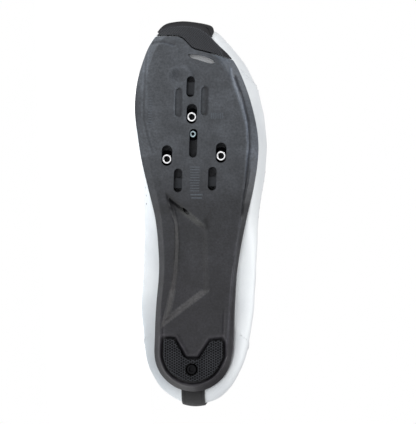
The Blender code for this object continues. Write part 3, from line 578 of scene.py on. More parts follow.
# Painted light and shade on the sole: how much paler (painted highlight) or darker (painted shade) each
# place is, in red, green and blue.
soleShadingTones = {
    "waistWallHighlight": (1.36, 1.34, 1.22),
    "lowerWallHighlight": (2.65, 2.68, 2.35),
    "upperWall": (2.3, 2.3, 2.0),
    "lobe": (0.24, 0.24, 0.25),
    "comma": (0.25, 0.25, 0.27),
    "ridge": (1.55, 1.59, 1.63),
    "ridgeGroove": (0.36, 0.36, 0.38),
    "innerRidge": (0.78, 0.78, 0.79),
    "besideInnerRidge": (1.22, 1.23, 1.24),
    "foreInnerHighlight": (1.18, 1.18, 1.17),
    "grooveShade": (0.45, 0.45, 0.47),
    "grooveLight": (1.40, 1.42, 1.44),
    "crease": (0.72, 0.73, 0.75),
    "dimple": (0.80, 0.80, 0.81),
    "dimpleRim": (1.20, 1.20, 1.21),
    "pocketRim": (1.65, 1.62, 1.58),
    "pocketEdge": (0.35, 0.35, 0.36),
    "heelLine": (1.45, 1.42, 1.38),
    "outerBorderHighlight": (1.46, 1.49, 1.53),
}
# Outlines and lines on the sole, as shares of its width and the shoe's length.
vent = (
    (0.070, 0.912), (0.020, 0.911), (-0.020, 0.910), (-0.060, 0.907), (-0.100, 0.903),
    (-0.140, 0.896), (-0.168, 0.889), (-0.136, 0.886), (-0.073, 0.891), (-0.015, 0.897), (0.033, 0.900),
)
seam = (
    (0.420, 0.9602), (0.298, 0.9617), (0.160, 0.9607), (0.118, 0.9558), (0.086, 0.9474),
    (0.038, 0.9309), (0.007, 0.9252), (-0.073, 0.9189), (-0.151, 0.9125), (-0.231, 0.9050), (-0.420, 0.8880),
)
# Raised edge between the bumper's hatched face and its smooth rim.
bumperRidge = (
    (0.300, 0.976), (0.223, 0.985), (0.112, 0.988), (0.033, 0.985), (-0.031, 0.978), (-0.089, 0.966),
    (-0.131, 0.953), (-0.178, 0.936), (-0.216, 0.916),
)
pad = (
    (0.240, 0.174), (0.160, 0.174), (0.076, 0.1273), (0.050, 0.1221), (-0.040, 0.1221), (-0.052, 0.1239),
    (-0.146, 0.170), (-0.232, 0.1725), (-0.241, 0.1655), (-0.245, 0.131), (-0.228, 0.118),
    (-0.187, 0.0948), (-0.153, 0.0828), (-0.114, 0.0748), (-0.056, 0.0674), (0.002, 0.0652),
    (0.083, 0.0690), (0.161, 0.0832), (0.202, 0.0970), (0.234, 0.1190), (0.246, 0.131),
)
# Corners of the sunk waist panel.
panel = (
    (0.236, 0.552), (0.176, 0.470), (0.172, 0.420), (0.184, 0.345), (0.202, 0.300), (0.226, 0.255),
    (0.262, 0.205), (-0.118, 0.2985), (-0.100, 0.375), (-0.096, 0.464),
)
panelHole = ((0.103, 0.5155), (0.070, 0.5100), (0.037, 0.4980), (0.058, 0.4955), (0.091, 0.5020))
# Width of the sloping border under the sole, from heel to toe: at ring number, inner side, outer side.
borderRows = (
    (0, 0.0046, 0.0046), (2, 0.0046, 0.0043), (4, 0.0046, 0.0035), (6, 0.0044, 0.0032), (8, 0.0048, 0.0032),
    (10, 0.0058, 0.0040), (12, 0.0064, 0.0060), (14, 0.0066, 0.0076), (16, 0.0060, 0.0070),
    (18, 0.0046, 0.0046),
)
# The ridge along the outer side, the thin groove just outside it, and the fold along the inner side.
outerRidge = (
    (-0.292, 0.872), (-0.298, 0.857), (-0.321, 0.831), (-0.393, 0.766), (-0.430, 0.720), (-0.439, 0.672),
    (-0.419, 0.589), (-0.381, 0.491), (-0.331, 0.400), (-0.305, 0.320), (-0.298, 0.269), (-0.281, 0.165),
)
ridgeGroove = (
    (-0.330, 0.850), (-0.400, 0.790), (-0.440, 0.740), (-0.452, 0.680), (-0.440, 0.620), (-0.415, 0.560),
    (-0.385, 0.490),
)
innerRidge = ((0.406, 0.9175), (0.414, 0.818), (0.414, 0.740), (0.372, 0.6875), (0.339, 0.656))
slots = (
    # across and along as shares, width and length in metres
    (0.034, 0.826, 0.0061, 0.0155),
    (0.022, 0.756, 0.0079, 0.0146),
    (0.008, 0.680, 0.0060, 0.0212),
    (0.224, 0.648, 0.0079, 0.0152),
    (-0.220, 0.656, 0.0079, 0.0150),
    (0.132, 0.584, 0.0063, 0.0175),
    (-0.149, 0.589, 0.0062, 0.0175),
)
grooves = (
    (0.133, 0.785, 0.0046, 0.0210),
    (-0.080, 0.789, 0.0050, 0.0212),
)


def pocketDistance(xy):
    return outlineDistance(xy, grown(placed(pad), 0.0004))


def behindHeel(xy):
    return ease((soleLook["heelLineTop"] - xy[..., 1]) / 0.012)


def soleRelief(xy):
    # how far each place is sunk, less how far it is raised
    depth = soleLook["panelDepth"] * ease(-outlineDistance(xy, placed(panel)) / soleLook["panelSlope"])
    deep = depth * (0.62 + 0.38 * ease((xy[..., 0] + 0.009) / 0.018))
    lobe = ovalDistance(xy, placed([soleLook["lobe"]])[0])
    deep = deep + 0.0014 * ease(depth / 0.0016) * bell(lobe, 0.0075)
    pocket = pocketDistance(xy)
    deep = deep - 0.0005 * bell(pocket - soleLook["pocketRim"], 0.0010) + 0.0007 * ease(1 - pocket / 0.0018)
    deep = deep + 0.0004 * behindHeel(xy) * bell(edgeDistance(xy) - soleLook["heelLine"], 0.0007)
    deep = deep + 0.0008 * bell(pathDistance(xy, placed(ridgeGroove)), 0.0007)
    deep = deep - 0.0004 * bell(pathDistance(xy, placed(outerRidge)), 0.0008)
    deep = deep - 0.0004 * bell(pathDistance(xy, placed(bumperRidge)), 0.0007)
    dimple = ovalDistance(xy, soleLook["dimple"])
    deep = deep + 0.0009 * bell(dimple, soleLook["dimpleRadius"])
    deep = deep - 0.0004 * bell(dimple - soleLook["dimpleRim"], 0.0018)
    return deep + 0.0008 * bell(pathDistance(xy, np.array(soleLook["crease"])), 0.0011)


def soleUnder(xy, width=None):
    y = xy[..., 1]
    inward = 1 - edgeDistance(xy) / (shoe["bevelWidth"] if width is None else width)
    slope = (inward + np.sqrt(inward ** 2 + 0.0012)) / 2
    return soleCurve(1, y) + soleCurve(4, y) * slope + soleRelief(xy)


def soleBody(name, tFrom, tTo, stepsAlong, stepsAcross):
    t = np.linspace(tFrom, tTo, stepsAlong)
    inner, outer = edgeXy(t), edgeXy(ring - t)
    v = np.linspace(0, 1, stepsAcross)    # columns stand closer together at both edges
    u = 0.55 * v + 0.45 * (0.5 - 0.5 * np.cos(math.pi * v))
    xy = inner[:, None] + (outer - inner)[:, None] * u[None, :, None]
    rows = np.array(borderRows)
    inside = smoothCurve(rows[:, 0], rows[:, 1], t)[:, None]
    outside = smoothCurve(rows[:, 0], rows[:, 2], t)[:, None]
    border = inside + (outside - inside) * ease((u[None, :] - 0.3) / 0.4)
    under = np.concatenate([xy, soleUnder(xy, border)[..., None]], axis=-1)
    stepsTop = soleLook["stepsTop"]
    w = np.linspace(0, 1, stepsTop)
    topXy = inner[:, None] + (outer - inner)[:, None] * w[None, :, None]
    top = np.concatenate([topXy, soleTop(topXy)[..., None]], axis=-1)
    points = np.concatenate([under.reshape(-1, 3), top.reshape(-1, 3)])
    below = np.arange(stepsAlong * stepsAcross).reshape(stepsAlong, stepsAcross)
    above = below.size + np.arange(stepsAlong * stepsTop).reshape(stepsAlong, stepsTop)
    faces = [tuple(f) for f in gridFaces(stepsAlong, stepsAcross)]
    faces += [tuple(f[::-1]) for f in gridFaces(stepsAlong, stepsTop, below.size)]
    for side in (0, -1):
        low, high = below[:, side], above[:, side]
        faces += list(zip(low[:-1], low[1:], high[1:], high[:-1]))
    for end, closed in ((0, tFrom > 0), (-1, tTo < toe)):
        if closed:
            faces.append((*below[end], *above[end, ::-1]))
    return makeMesh(name, points, faces, [], shown=False)


def soleMaterial():
    look = soleLook
    made, tree, shader = newMaterial("soleShell", look["toeColour"], look["roughness"], specular=0.32)
    where = shoePoint(tree)
    parts = addNode(tree, "SeparateXYZ", {0: where})
    along = mathNode(tree, "DIVIDE", parts.outputs["Y"], shoe["length"])
    # the base colour darkens from toe to heel: a painted fall-off of the light from the toe side
    base = rampNode(tree, along, (
        (0.0, look["heelColour"]), (0.30, (0.0160, 0.0157, 0.0190)), (0.52, (0.0230, 0.0240, 0.0280)),
        (0.66, (0.041, 0.045, 0.052)), (1.0, look["toeColour"]),
    ))
    cloud = noiseNode(tree, where, 60.0, 6.0, 0.65)
    fine = noiseNode(tree, where, 620.0, 4.0, 0.7)
    mottle = rampNode(tree, cloud, ((0.33, 0.74), (0.5, 1.0), (0.68, 1.42)))
    speck = rampNode(tree, fine, ((0.34, 0.74), (0.66, 1.30)))
    colour = tinted(tree, tinted(tree, base, mottle), speck)
    # painted light and shade: sloping walls are painted paler as if they caught the side light, and those
    # that face the heel are painted darker as shade
    down = facing(tree, -turnRows[:, 2])
    waistWallHighlight = rampNode(tree, down, ((0.72, look["waistWallHighlight"]), (0.90, 1.0)))
    foreWallHighlight = rampNode(tree, down, ((0.72, look["foreWallHighlight"]), (0.90, 1.0)))
    wall = mixNode(tree, rampNode(tree, along, ((0.50, 0.0), (0.62, 1.0))), waistWallHighlight, foreWallHighlight)
    shade = rampNode(tree, facing(tree, -turnRows[:, 1]), ((0.34, 1.0), (0.60, look["heelwardShade"])))
    inner = rampNode(tree, scaled(tree, parts.outputs["X"], 20.0), ((0.08, 0.0), (0.20, 1.0)))
    colour = tinted(tree, colour, mixNode(tree, inner, wall, tinted(tree, wall, shade)))
    setColour(tree, shader, tinted(tree, colour, paintedLayer(tree, "solePaintedShading")))
    tree.links.new(summed(tree, scaled(tree, cloud, 0.14), 0.30), shader.inputs["Roughness"])
    stretched = addNode(tree, "Mapping", {"Vector": where, "Scale": (900, 90, 900)}).outputs[0]
    scratch = noiseNode(tree, stretched, 1.0, 2.0)
    height = summed(tree, scaled(tree, fine, 0.6), scaled(tree, scratch, 0.25))
    height = summed(tree, height, scaled(tree, noiseNode(tree, where, 260.0, 4.0), 1.6))
    addBump(tree, shader, height, 0.5, 0.00022)
    return made


def shoeXy(piece):
    points = np.empty(len(piece.data.vertices) * 3)
    piece.data.vertices.foreach_get("co", points)
    return (points.reshape(-1, 3) - shiftRow) @ turnRows


def band(distance, width):
    return ease((width - np.abs(distance)) / 0.0006 + 0.5)


def paintSole(piece):
    # painted highlights and painted shade: paler on walls, ridges and rims where light would catch, darker
    # in grooves, creases and hollows where shade sits
    shoePoints = shoeXy(piece)
    xy, z = shoePoints[:, :2], shoePoints[:, 2]
    x, y = xy[:, 0], xy[:, 1]
    tone = np.ones((len(xy), 3))

    def blend(name, mask):
        tone[:] = tone * (1 + mask[:, None] * (np.array(soleShadingTones[name]) - 1))

    sunk = -outlineDistance(xy, placed(panel))
    slope = soleLook["panelSlope"]
    # the sunk panel's sloping walls get painted highlights, strongest on the lower wall and on the outer
    # half of the upper wall
    wall = band(sunk - slope / 2, slope / 2 + 0.0005)
    innerSide = ease((x - 0.010) / 0.004)
    lower = wall * ease((0.305 * shoe["length"] - y) / 0.003)
    upperWall = wall * ease((y - 0.462 * shoe["length"]) / 0.003)
    blend("waistWallHighlight", wall * (1 - lower) * (1 - upperWall) * (0.4 + 0.6 * innerSide))
    blend("lowerWallHighlight", lower)
    blend("upperWall", upperWall * (1 - innerSide))
    # painted shadow in the deep lobe under the panel's upper wall, and a painted shadow at its outer end
    lobe = pathDistance(xy, placed(((0.215, 0.545), (0.120, 0.520))))
    blend("lobe", bell(lobe, 0.0042) * ease(sunk / 0.0015 + 0.9))
    blend("comma", bell(pathDistance(xy, placed(((-0.090, 0.482), (-0.100, 0.462)))), 0.0019))
    # a painted highlight on the outer ridge and painted shade in the thin groove beside it; along the inner
    # fold, a painted shade line with a painted highlight beside it
    blend("ridge", band(pathDistance(xy, placed(outerRidge)), 0.0009))
    blend("ridgeGroove", band(pathDistance(xy, placed(ridgeGroove)), 0.0009))
    fold = pathDistance(xy, placed(innerRidge))
    blend("innerRidge", band(fold, 0.0006))
    blend("besideInnerRidge", band(fold - 0.0016, 0.0007))
    # painted light: the inner side of the forefoot is paler
    blend("foreInnerHighlight", ease((x - 0.012) / 0.02) * ease((y - 0.15) / 0.03))
    for groove in grooves:
        middle = groove[0] * shoe["soleWidth"]
        rim = outlineDistance(xy, slotLine(*groove))
        blend("grooveShade", band(rim - 0.0002, 0.0006) * (x < middle))
        blend("grooveLight", band(rim - 0.0004, 0.0005) * (x > middle))
    # painted shade in the crease and the dimple, and a painted highlight on the dimple's rim
    blend("crease", band(pathDistance(xy, np.array(soleLook["crease"])), 0.0009))
    dimple = ovalDistance(xy, soleLook["dimple"])
    blend("dimple", bell(dimple, soleLook["dimpleRadius"]))
    blend("dimpleRim", band(dimple - soleLook["dimpleRim"], 0.0012))
    # a painted highlight on the pad pocket's raised rim, and painted shade in the gap at its edge
    pocket = pocketDistance(xy)
    blend("pocketRim", band(pocket - soleLook["pocketRim"], 0.0009) * (z < 0.03))
    blend("pocketEdge", band(pocket - 0.0005, 0.0006))
    # a painted highlight on the heel's ridge line, and painted light on the outer border
    heelLine = edgeDistance(xy)
    blend("heelLine", band(heelLine - soleLook["heelLine"], 0.0007) * behindHeel(xy))
    lightSide = ease((heelLine - 0.0060) / 0.004)
    blend("outerBorderHighlight", (1 - lightSide) * ease((y - 0.16) / 0.03) * (x < 0))
    colours = np.concatenate([tone, np.ones((len(xy), 1))], axis=1)
    layer = piece.data.color_attributes.new("solePaintedShading", "FLOAT_COLOR", "POINT")
    layer.data.foreach_set("color", colours.ravel())


soleShell = soleMaterial()
outsole = soleBody("outsoleShell", 0.0, toe, soleLook["stepsAlong"], soleLook["stepsAcross"])


def toeBlock(name, shift):
    far = shoe["length"] * 1.2
    line = [(x, y + shift) for x, y in placed(seam)]
    return prismMesh(name, line + [(line[-1][0], far), (line[0][0], far)], -0.02, 0.06)


def soleCut(name, outlineXy, height):
    return prismMesh(name, outlineXy, -0.02, height)


def slotLine(across, along, width, length, steps=12):
    x, y = across * shoe["soleWidth"], along * shoe["length"]
    return stadium(x, y, width, length, soleLook["slotLean"], steps)


def underAt(y):
    return float(soleCurve(1, np.array([y]))[0])


cutters = [toeBlock("toeCut", -0.00065)]
cutters += [soleCut("slotCut", slotLine(*slot), 0.04) for slot in slots]
for groove in grooves:
    floor = underAt(groove[1] * shoe["length"]) + soleLook["grooveDepth"]
    cutters.append(soleCut("grooveCut", slotLine(*groove, 6), floor))
cutters.append(soleCut("ventCut", rounded(placed(vent), 0.002, 3), 0.06))
holeFloor = underAt(soleLook["pitAlong"]) + soleLook["pitDepth"]
cutters.append(soleCut("panelHole", rounded(placed(panelHole), 0.0012, 3), holeFloor))
pocketLine = rounded(grown(placed(pad), 0.0005), 0.0012, 3)
cutters.append(soleCut("padPocket", pocketLine, shoe["padThick"] + 0.0003))
cut(outsole, joined("soleCuts", cutters))
recoat(outsole, soleShell)
paintSole(outsole)
dress(outsole, "outsole", 30)
print("outsole", len(outsole.data.polygons))


# plain scale lines beside the slots

def inkMaterial():
    made, tree, shader = newMaterial("scaleInk", (0.30, 0.34, 0.38), 0.5)
    grain = noiseNode(tree, shoePoint(tree), 1500.0, 2.0)
    worn, full = (0.040, 0.047, 0.058), (0.072, 0.088, 0.108)
    setColour(tree, shader, rampNode(tree, grain, ((0.35, worn), (0.65, full))))
    return made


# A row of ticks each: first one's centre across and along, its width and length, the step to the next.
marks = {
    "ruler": {"at": (-0.0006, 0.1763), "size": (0.0066, 0.00055), "step": (0.0, -0.00194), "count": 10},
    "bold": {"at": (-0.0018, 0.1560), "size": (0.0078, 0.0009), "step": (0.0, -0.0023), "count": 2},
    "innerTicks": {"at": (0.0326, 0.2270), "size": (0.0030, 0.0005), "step": (0.0, -0.0019), "count": 11},
    "outerTicks": {"at": (-0.0125, 0.2140), "size": (0.0005, 0.0044), "step": (-0.0014, 0.0), "count": 7},
}


def flatMark(points, faces, corners):
    start = len(points)
    z = soleUnder(np.asarray(corners))
    for lift in (-0.00006, 0.0002):
        points.extend((x, y, h + lift) for (x, y), h in zip(corners, z))
    faces.extend(stackFaces(start, 2, 4))


def makeMarks():
    points, faces = [], []
    for mark in marks.values():
        for i in range(mark["count"]):
            x, y = (start + i * step for start, step in zip(mark["at"], mark["step"]))
            w, h = mark["size"][0] / 2 * (1.0 if i % 5 else 1.15), mark["size"][1] / 2
            flatMark(points, faces, [(x + w, y - h), (x + w, y + h), (x - w, y + h), (x - w, y - h)])
    return makeMesh("scaleMarks", points, faces, [inkMaterial()], None)


makeMarks()


# toe bumper: rubber toe of the sole, turned up over the upper

bumperLook = {
    "colour": (0.030, 0.031, 0.035),
    "rimColour": (0.018, 0.018, 0.020),
    "wall": 0.0030,
    "from": 16.75,
    "to": 19.55,
    "crown": 0.93,
}


def bumperMaterial():
    made, tree, shader = newMaterial("bumperRubber", bumperLook["colour"], 0.6, specular=0.2)
    where = shoePoint(tree)
    facet = paintedLayer(tree, "bumperFacet", "Fac")
    bend = {"Distortion": 2.2, "Detail": 1.0, "Detail Scale": 1.5}
    lines = waveNode(tree, turnedPoint(tree, where, 35), 300.0, **bend)
    grain = noiseNode(tree, where, 1500.0, 3.0)
    hatched = rampNode(tree, lines, ((0.25, (0.012, 0.012, 0.014)), (0.75, (0.043, 0.046, 0.052))))
    shade = rampNode(tree, grain, ((0.3, 0.85), (0.7, 1.15)))
    skin = mixNode(tree, facet, bumperLook["rimColour"], hatched)
    skin = tinted(tree, skin, paintedLayer(tree, "bumperRidgeHighlight"))
    setColour(tree, shader, tinted(tree, skin, shade))
    height = summed(tree, scaled(tree, lines, facet), scaled(tree, grain, 0.4))
    addBump(tree, shader, height, 0.5, 0.0003)
    return made


def bumperWall():
    # a closed section at each turn round the toe: out and up over the upper, then back down beside it
    turns = np.linspace(bumperLook["from"], bumperLook["to"], 61)
    reach = np.linspace(-1, 1, 61)
    crown = bumperLook["crown"] * (1 - np.abs(reach) ** 2.6)
    loops = []
    swell = (0.38 - 0.14 * reach) + 0.72 * ease((1 - np.abs(reach)) / 0.45)
    for turn, top, full in zip(turns, crown, swell):
        edge, out = edgeXy(turn), edgeOutward(turn)
        foot = float(soleCurve(3, edge[1]))
        low = float(soleCurve(1, edge[1]) + soleCurve(4, edge[1]))
        outerColumn, innerColumn = [], []
        wall = bumperLook["wall"] * full
        for height, deep, proud in (
            (low + 0.0003, 0.0015, 0.0005), (low + 0.0012, 0.0015, shoe["gap"] + 0.0016 * full),
            (foot - 0.0010, 0.0015, shoe["gap"] + wall), (foot - 0.0002, -shoe["gap"], shoe["gap"] + wall),
        ):
            outerColumn.append((*(edge + out * proud), height))
            innerColumn.append((*(edge - out * deep), height))
        for share in np.linspace(0.2, 1.0, 14):
            s = max(0.10, share * top + 0.06)
            thin = wall * (1 - 0.55 * ease((share - 0.8) / 0.2))
            outerColumn.append(tuple(offForm(turn, s, shoe["gap"] + thin)))
            innerColumn.append(tuple(offForm(turn, s, 0.00035)))
        loops.append(outerColumn + innerColumn[::-1])
    return np.array(loops)


def paintBumper(piece):
    # hatched face and smooth rim, with a painted highlight along the ridge between them
    shoePoints = shoeXy(piece)
    xy, z = shoePoints[:, :2], shoePoints[:, 2]
    face = placed(bumperRidge + ((-0.26, 0.89), (0.42, 0.89), (0.345, 0.962)))
    beneath = z < soleCurve(3, xy[:, 1]) - 0.001
    facet = ease(0.5 - outlineDistance(xy, face) / 0.0007) * beneath
    ridge = band(pathDistance(xy, placed(bumperRidge)), 0.0007) * beneath
    tone = 1 + 0.5 * ridge
    layer = piece.data.color_attributes.new("bumperRidgeHighlight", "FLOAT_COLOR", "POINT")
    layer.data.foreach_set("color", np.stack([tone, tone, tone, np.ones(len(tone))], axis=1).ravel())
    piece.data.attributes.new("bumperFacet", "FLOAT", "POINT").data.foreach_set("value", facet)


bumperRubber = bumperMaterial()
bumper = soleBody("toeBumperShell", 13.6, toe, 120, 90)
cut(bumper, toeBlock("toeKeep", 0.00035), "INTERSECT")
cut(bumper, loopSolid("bumperWall", bumperWall(), [], shown=False), "UNION")
recoat(bumper, bumperRubber)
paintBumper(bumper)
dress(bumper, "toe_bumper", 32)
print("toe bumper", len(bumper.data.polygons))


# heel pad, its screw, nuts and plates

padLook = {
    "colour": (0.016, 0.017, 0.019),
    "sink": 0.0005,
    "screw": (0.010, 0.0965),
    "recess": 0.0094,
    "cells": 186.0,
    "ribWidth": 0.0010,
    "ribRise": 0.0003,
    "ribSides": 24,
}


def padMaterial():
    made, tree, shader = newMaterial("padRubber", padLook["colour"], 0.6, specular=0.12)
    where = shoePoint(tree)
    cells = 0.0
    for angle in (0, 60, 120):    # three crossed waves give the honeycomb
        cells = summed(tree, waveNode(tree, turnedPoint(tree, where, angle), padLook["cells"]), cells)
    grain = noiseNode(tree, where, 1800.0, 2.0)
    rim = rampNode(tree, scaled(tree, cells, 0.4), ((0.66, 0.0), (0.80, 1.0)))
    setColour(tree, shader, mixNode(tree, rim, (0.0022, 0.0023, 0.0028), (0.042, 0.044, 0.050)))
    addBump(tree, shader, summed(tree, rim, scaled(tree, grain, 0.35)), 0.6, 0.0003)
    return made


padRubber = padMaterial()
# Outline's inset and height, from the top in the pocket down to the tread's sunk face.
padLevels = (
    (0.0, shoe["padThick"]), (0.0, 0.0010), (0.0004, 0.0003), (0.0008, 0.0), (0.0016, 0.0),
    (0.0019, padLook["sink"]),
)
heelPad = ringStack(
    "heelPadShell", [rounded(grown(placed(pad), -inset), 0.0012, 3) for inset, height in padLevels],
    [height for inset, height in padLevels], [padRubber],
)
screwX, screwY = padLook["screw"][0] * shoe["soleWidth"], padLook["screw"][1] * shoe["length"]


def screwCircle(radius, sides):
    turns = np.linspace(0, 2 * math.pi, sides + 1)[:-1]
    return [(screwX + radius * math.cos(a), screwY + radius * math.sin(a)) for a in turns]


cut(heelPad, prismMesh("screwRecess", screwCircle(padLook["recess"] / 2, 40), -0.01, 0.02))
dress(heelPad, "heel_pad", 30)


def barMesh(points, faces, a, b):
    a, b = np.array(a), np.array(b)
    across = unit(np.array([-(b - a)[1], (b - a)[0]])) * padLook["ribWidth"] / 2
    start = len(points)
    for z, share in ((0.0, 0.55), (padLook["sink"] + padLook["ribRise"], 1.0)):
        for p, sign in ((a, 1), (b, 1), (b, -1), (a, -1)):
            points.append((*(p + across * sign * share), z))
    faces.extend(stackFaces(start, 2, 4))


def padBars():
    points, faces = [], []
    bars = (
        ((0.083, 0.122), (0.118, 0.088)), ((-0.068, 0.120), (-0.072, 0.083)),
        ((0.070, 0.118), (0.116, 0.150)), ((-0.060, 0.118), (-0.110, 0.148)),
        ((0.232, 0.150), (0.120, 0.148)), ((-0.232, 0.148), (-0.112, 0.146)),
    )
    for bar in bars:
        barMesh(points, faces, *placed(bar))
    rim = screwCircle(padLook["recess"] / 2 + 0.0009, padLook["ribSides"])
    for a, b in zip(rim, rim[1:] + rim[:1]):
        barMesh(points, faces, a, b)
    return makeMesh("heelPadRibs", points, faces, [padRubber], None, sharp=30)


padBars()


def metalMaterial(name, colour, roughness, grainScale):
    made, tree, shader = newMaterial(name, colour, roughness, metallic=1.0)
    where = shoePoint(tree)
    grain = noiseNode(tree, where, grainScale, 3.0)
    rough = summed(tree, scaled(tree, grain, 0.16), roughness - 0.06)
    tree.links.new(rough, shader.inputs["Roughness"])
    dull = tuple(c * 0.86 for c in colour)
    patches = noiseNode(tree, where, grainScale * 0.4, 2.0)
    setColour(tree, shader, rampNode(tree, patches, ((0.35, dull), (0.65, colour))))
    addBump(tree, shader, grain, 0.12, 0.0001)
    return made


nutSteel = metalMaterial("nutSteel", (0.80, 0.80, 0.81), 0.16, 900.0)
zincSteel = metalMaterial("zincSteel", (0.40, 0.50, 0.53), 0.3, 900.0)
flangeShadeBlack = metalMaterial("flangeShadeBlack", (0.004, 0.004, 0.005), 0.7, 900.0)
screwSteel = metalMaterial("screwSteel", (0.010, 0.010, 0.011), 0.30, 900.0)
plateMetal = metalMaterial("plateMetal", (0.038, 0.040, 0.044), 0.45, 700.0)


def lathe(name, x, y, profile, materials, node, sharp=38, hidden=99):
    # the profile turned about its axis; from the point numbered hidden on it takes the second material
    turns = np.arange(48) * 2 * math.pi / 48
    loops = [[(x + r * math.cos(a), y + r * math.sin(a), z) for r, z in profile] for a in turns]
    faces = gridFaces(len(turns), len(profile), closedRows=True, closedColumns=True)
    second = np.tile(np.arange(len(profile)) >= hidden, len(turns))
    points = np.array(loops).reshape(-1, 3)
    return makeMesh(name, points, faces, materials, node, second, sharp=sharp)


nuts = (
    # piece, node, place across and along, radius outside, inside and at the flange, face height, steel
    ("cleatNutFront", "cleat_nut_front", 0.022, 0.748, 0.0036, 0.0021, 0.0063, 0.0010, nutSteel),
    ("cleatNutInner", "cleat_nut_inner", 0.224, 0.639, 0.0036, 0.0021, 0.0063, 0.0010, nutSteel),
    ("cleatNutOuter", "cleat_nut_outer", -0.220, 0.648, 0.0036, 0.0021, 0.0063, 0.0010, nutSteel),
    ("centreNut", "centre_nut", 0.012, 0.704, 0.00255, 0.0011, 0.0046, 0.0014, zincSteel),
)


def seatOver(x, y, radius):
    a = np.arange(16) * math.pi / 8
    rim = np.stack([x + radius * np.cos(a), y + radius * np.sin(a)], axis=1)
    return float(soleTop(rim).max()) + shoe["gap"]


for name, node, across, along, outer, inner, flange, face, steel in nuts:
    x, y = across * shoe["soleWidth"], along * shoe["length"]
    seat = seatOver(x, y, flange)
    half, middle = (outer - inner) / 2, (outer + inner) / 2
    profile = [(inner, face + 0.0012)]
    for k in range(1, 8):
        a = math.pi * k / 8
        profile.append((middle - half * math.cos(a) * 0.98, face + 0.0006 * (1 - math.sin(a))))
    profile += [(outer, face + 0.0008), (outer, seat), (flange, seat), (flange, seat + 0.0012)]
    profile.append((inner, seat + 0.0012))
    # the barrel's side and the flange, down in the slot, are near-black metal as painted shade
    lathe(name, x, y, profile, [steel, flangeShadeBlack], node, sharp=60, hidden=8)

headLow = 0.0022
lathe("heelPadScrew", screwX, screwY, [
    (0.0, headLow + 0.0018), (0.0017, headLow + 0.0018), (0.0018, headLow + 0.0001), (0.0021, headLow),
    (0.0034, headLow), (0.0038, headLow + 0.0002), (0.0041, headLow + 0.0007), (0.0041, shoe["padThick"]),
    (0.0019, shoe["padThick"]), (0.0019, 0.0100), (0.0, 0.0100),
], [screwSteel], "heel_pad_screw")

for node in ("slot_plate_front", "slot_plate_inner", "slot_plate_outer"):
    recoat(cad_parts[node], plateMetal)


def screenMaterial():
    made, tree, shader = newMaterial("screenMesh", (0.84, 0.86, 0.88), 0.35)
    weave = waveNode(tree, shoePoint(tree), 900.0, "DIAGONAL")
    setColour(tree, shader, rampNode(tree, weave, ((0.2, (0.74, 0.76, 0.78)), (0.7, (0.97, 0.97, 0.98)))))
    addBump(tree, shader, weave, 0.5, 0.0002)
    return made


recoat(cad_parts["vent_screen"], screenMaterial())
print("sole hardware")


# upper: one lasted shell, with its panels, seams and soft creases

upperLook = {
    "colour": (0.80, 0.83, 0.85),
    "shadeColour": (0.70, 0.73, 0.76),
    "roughness": 0.42,
    "innerHeelShade": (0.70, 0.72, 0.735),
    "liningColour": (0.10, 0.105, 0.11),
    "counterStep": 0.0004,
    "facingStep": 0.0004,
    "ringSteps": 432,
}
# Soft creases: a row of (ring number, rib place) points, then depth and half width in metres.
creases = (
    (((12.4, 1.35), (13.0, 1.62), (14.4, 1.82), (16.5, 1.90)), 0.0007, 0.0030),
    (((23.8, 1.35), (23.1, 1.62), (21.8, 1.82), (19.6, 1.90)), 0.0007, 0.0030),
    (((13.2, 1.20), (13.9, 1.50), (15.2, 1.72)), 0.0005, 0.0026),
    (((22.9, 1.20), (22.2, 1.50), (20.9, 1.72)), 0.0005, 0.0026),
    (((5.4, 1.80), (6.0, 1.62), (6.7, 1.50)), 0.0006, 0.0034),
    (((30.6, 1.80), (30.0, 1.62), (29.3, 1.50)), 0.0006, 0.0034),
    (((2.4, 1.75), (3.0, 1.62), (3.5, 1.50)), 0.0004, 0.0040),
    (((33.6, 1.75), (33.0, 1.62), (32.5, 1.50)), 0.0004, 0.0040),
)
# Sewn seams of the toe cap, sunk along their line and stitched beside it.
toeSeam = ((14.6, 0.30), (14.2, 0.8), (13.9, 1.15), (14.3, 1.5), (15.4, 1.76), (17.0, 1.86), (18.0, 1.88))
seams = (toeSeam, tuple((ring - r, s) for r, s in toeSeam))


def surfacePath(points, steps=24):
    points = np.array(points)
    at = np.linspace(0, len(points) - 1, steps * (len(points) - 1) + 1)
    r = smoothCurve(np.arange(len(points)), points[:, 0], at)
    s = smoothCurve(np.arange(len(points)), points[:, 1], at)
    return r, s


def counterLine(s):
    return 5.25 - 0.5 * np.clip(s, 0, 1) - 1.5 * np.clip(s - 1, 0, 1)


def upperRelief(r, s, base):
    fromHeel = np.minimum(r, ring - r)
    perRing = 0.0152    # metres along the heel's side to one ring
    counter = ease((counterLine(s) - fromHeel) * perRing / 0.0006 + 0.5) * ease((1.80 - s) / 0.03 + 0.5)
    high = upperLook["counterStep"] * counter * (s > 0.02)
    facingEdge = ease((s - 1.76) / 0.02 + 0.5) * ease((fromHeel - 7.3) / 0.05)
    high = high + upperLook["facingStep"] * facingEdge
    for points, depth, half in creases:
        near = pathDistance(base, form(*surfacePath(points, 6)))
        high = high - depth * bell(near, half) + 0.45 * depth * bell(near - 1.9 * half, half)
    for points in seams:
        near = pathDistance(base, form(*surfacePath(points, 8)))
        high = high - 0.00035 * bell(near, 0.0007) + 0.00020 * bell(near - 0.0018, 0.0012)
    x, y, z = base[..., 0], base[..., 1], base[..., 2]
    soft = 0.00025 * np.sin(y * 210 + z * 90) * np.sin(x * 160 + y * 60)
    return high + soft * ease(s / 0.4)


upperTop = 1.985    # rib place of the collar's and throat's edge


def wallAt(r, s):
    fromHeel = np.minimum(r, ring - r)
    padded = ease((6.7 - fromHeel) / 1.4) * ease((s - 1.35) / 0.45)
    return shoe["upperWall"] + (shoe["collarWall"] - shoe["upperWall"]) * padded


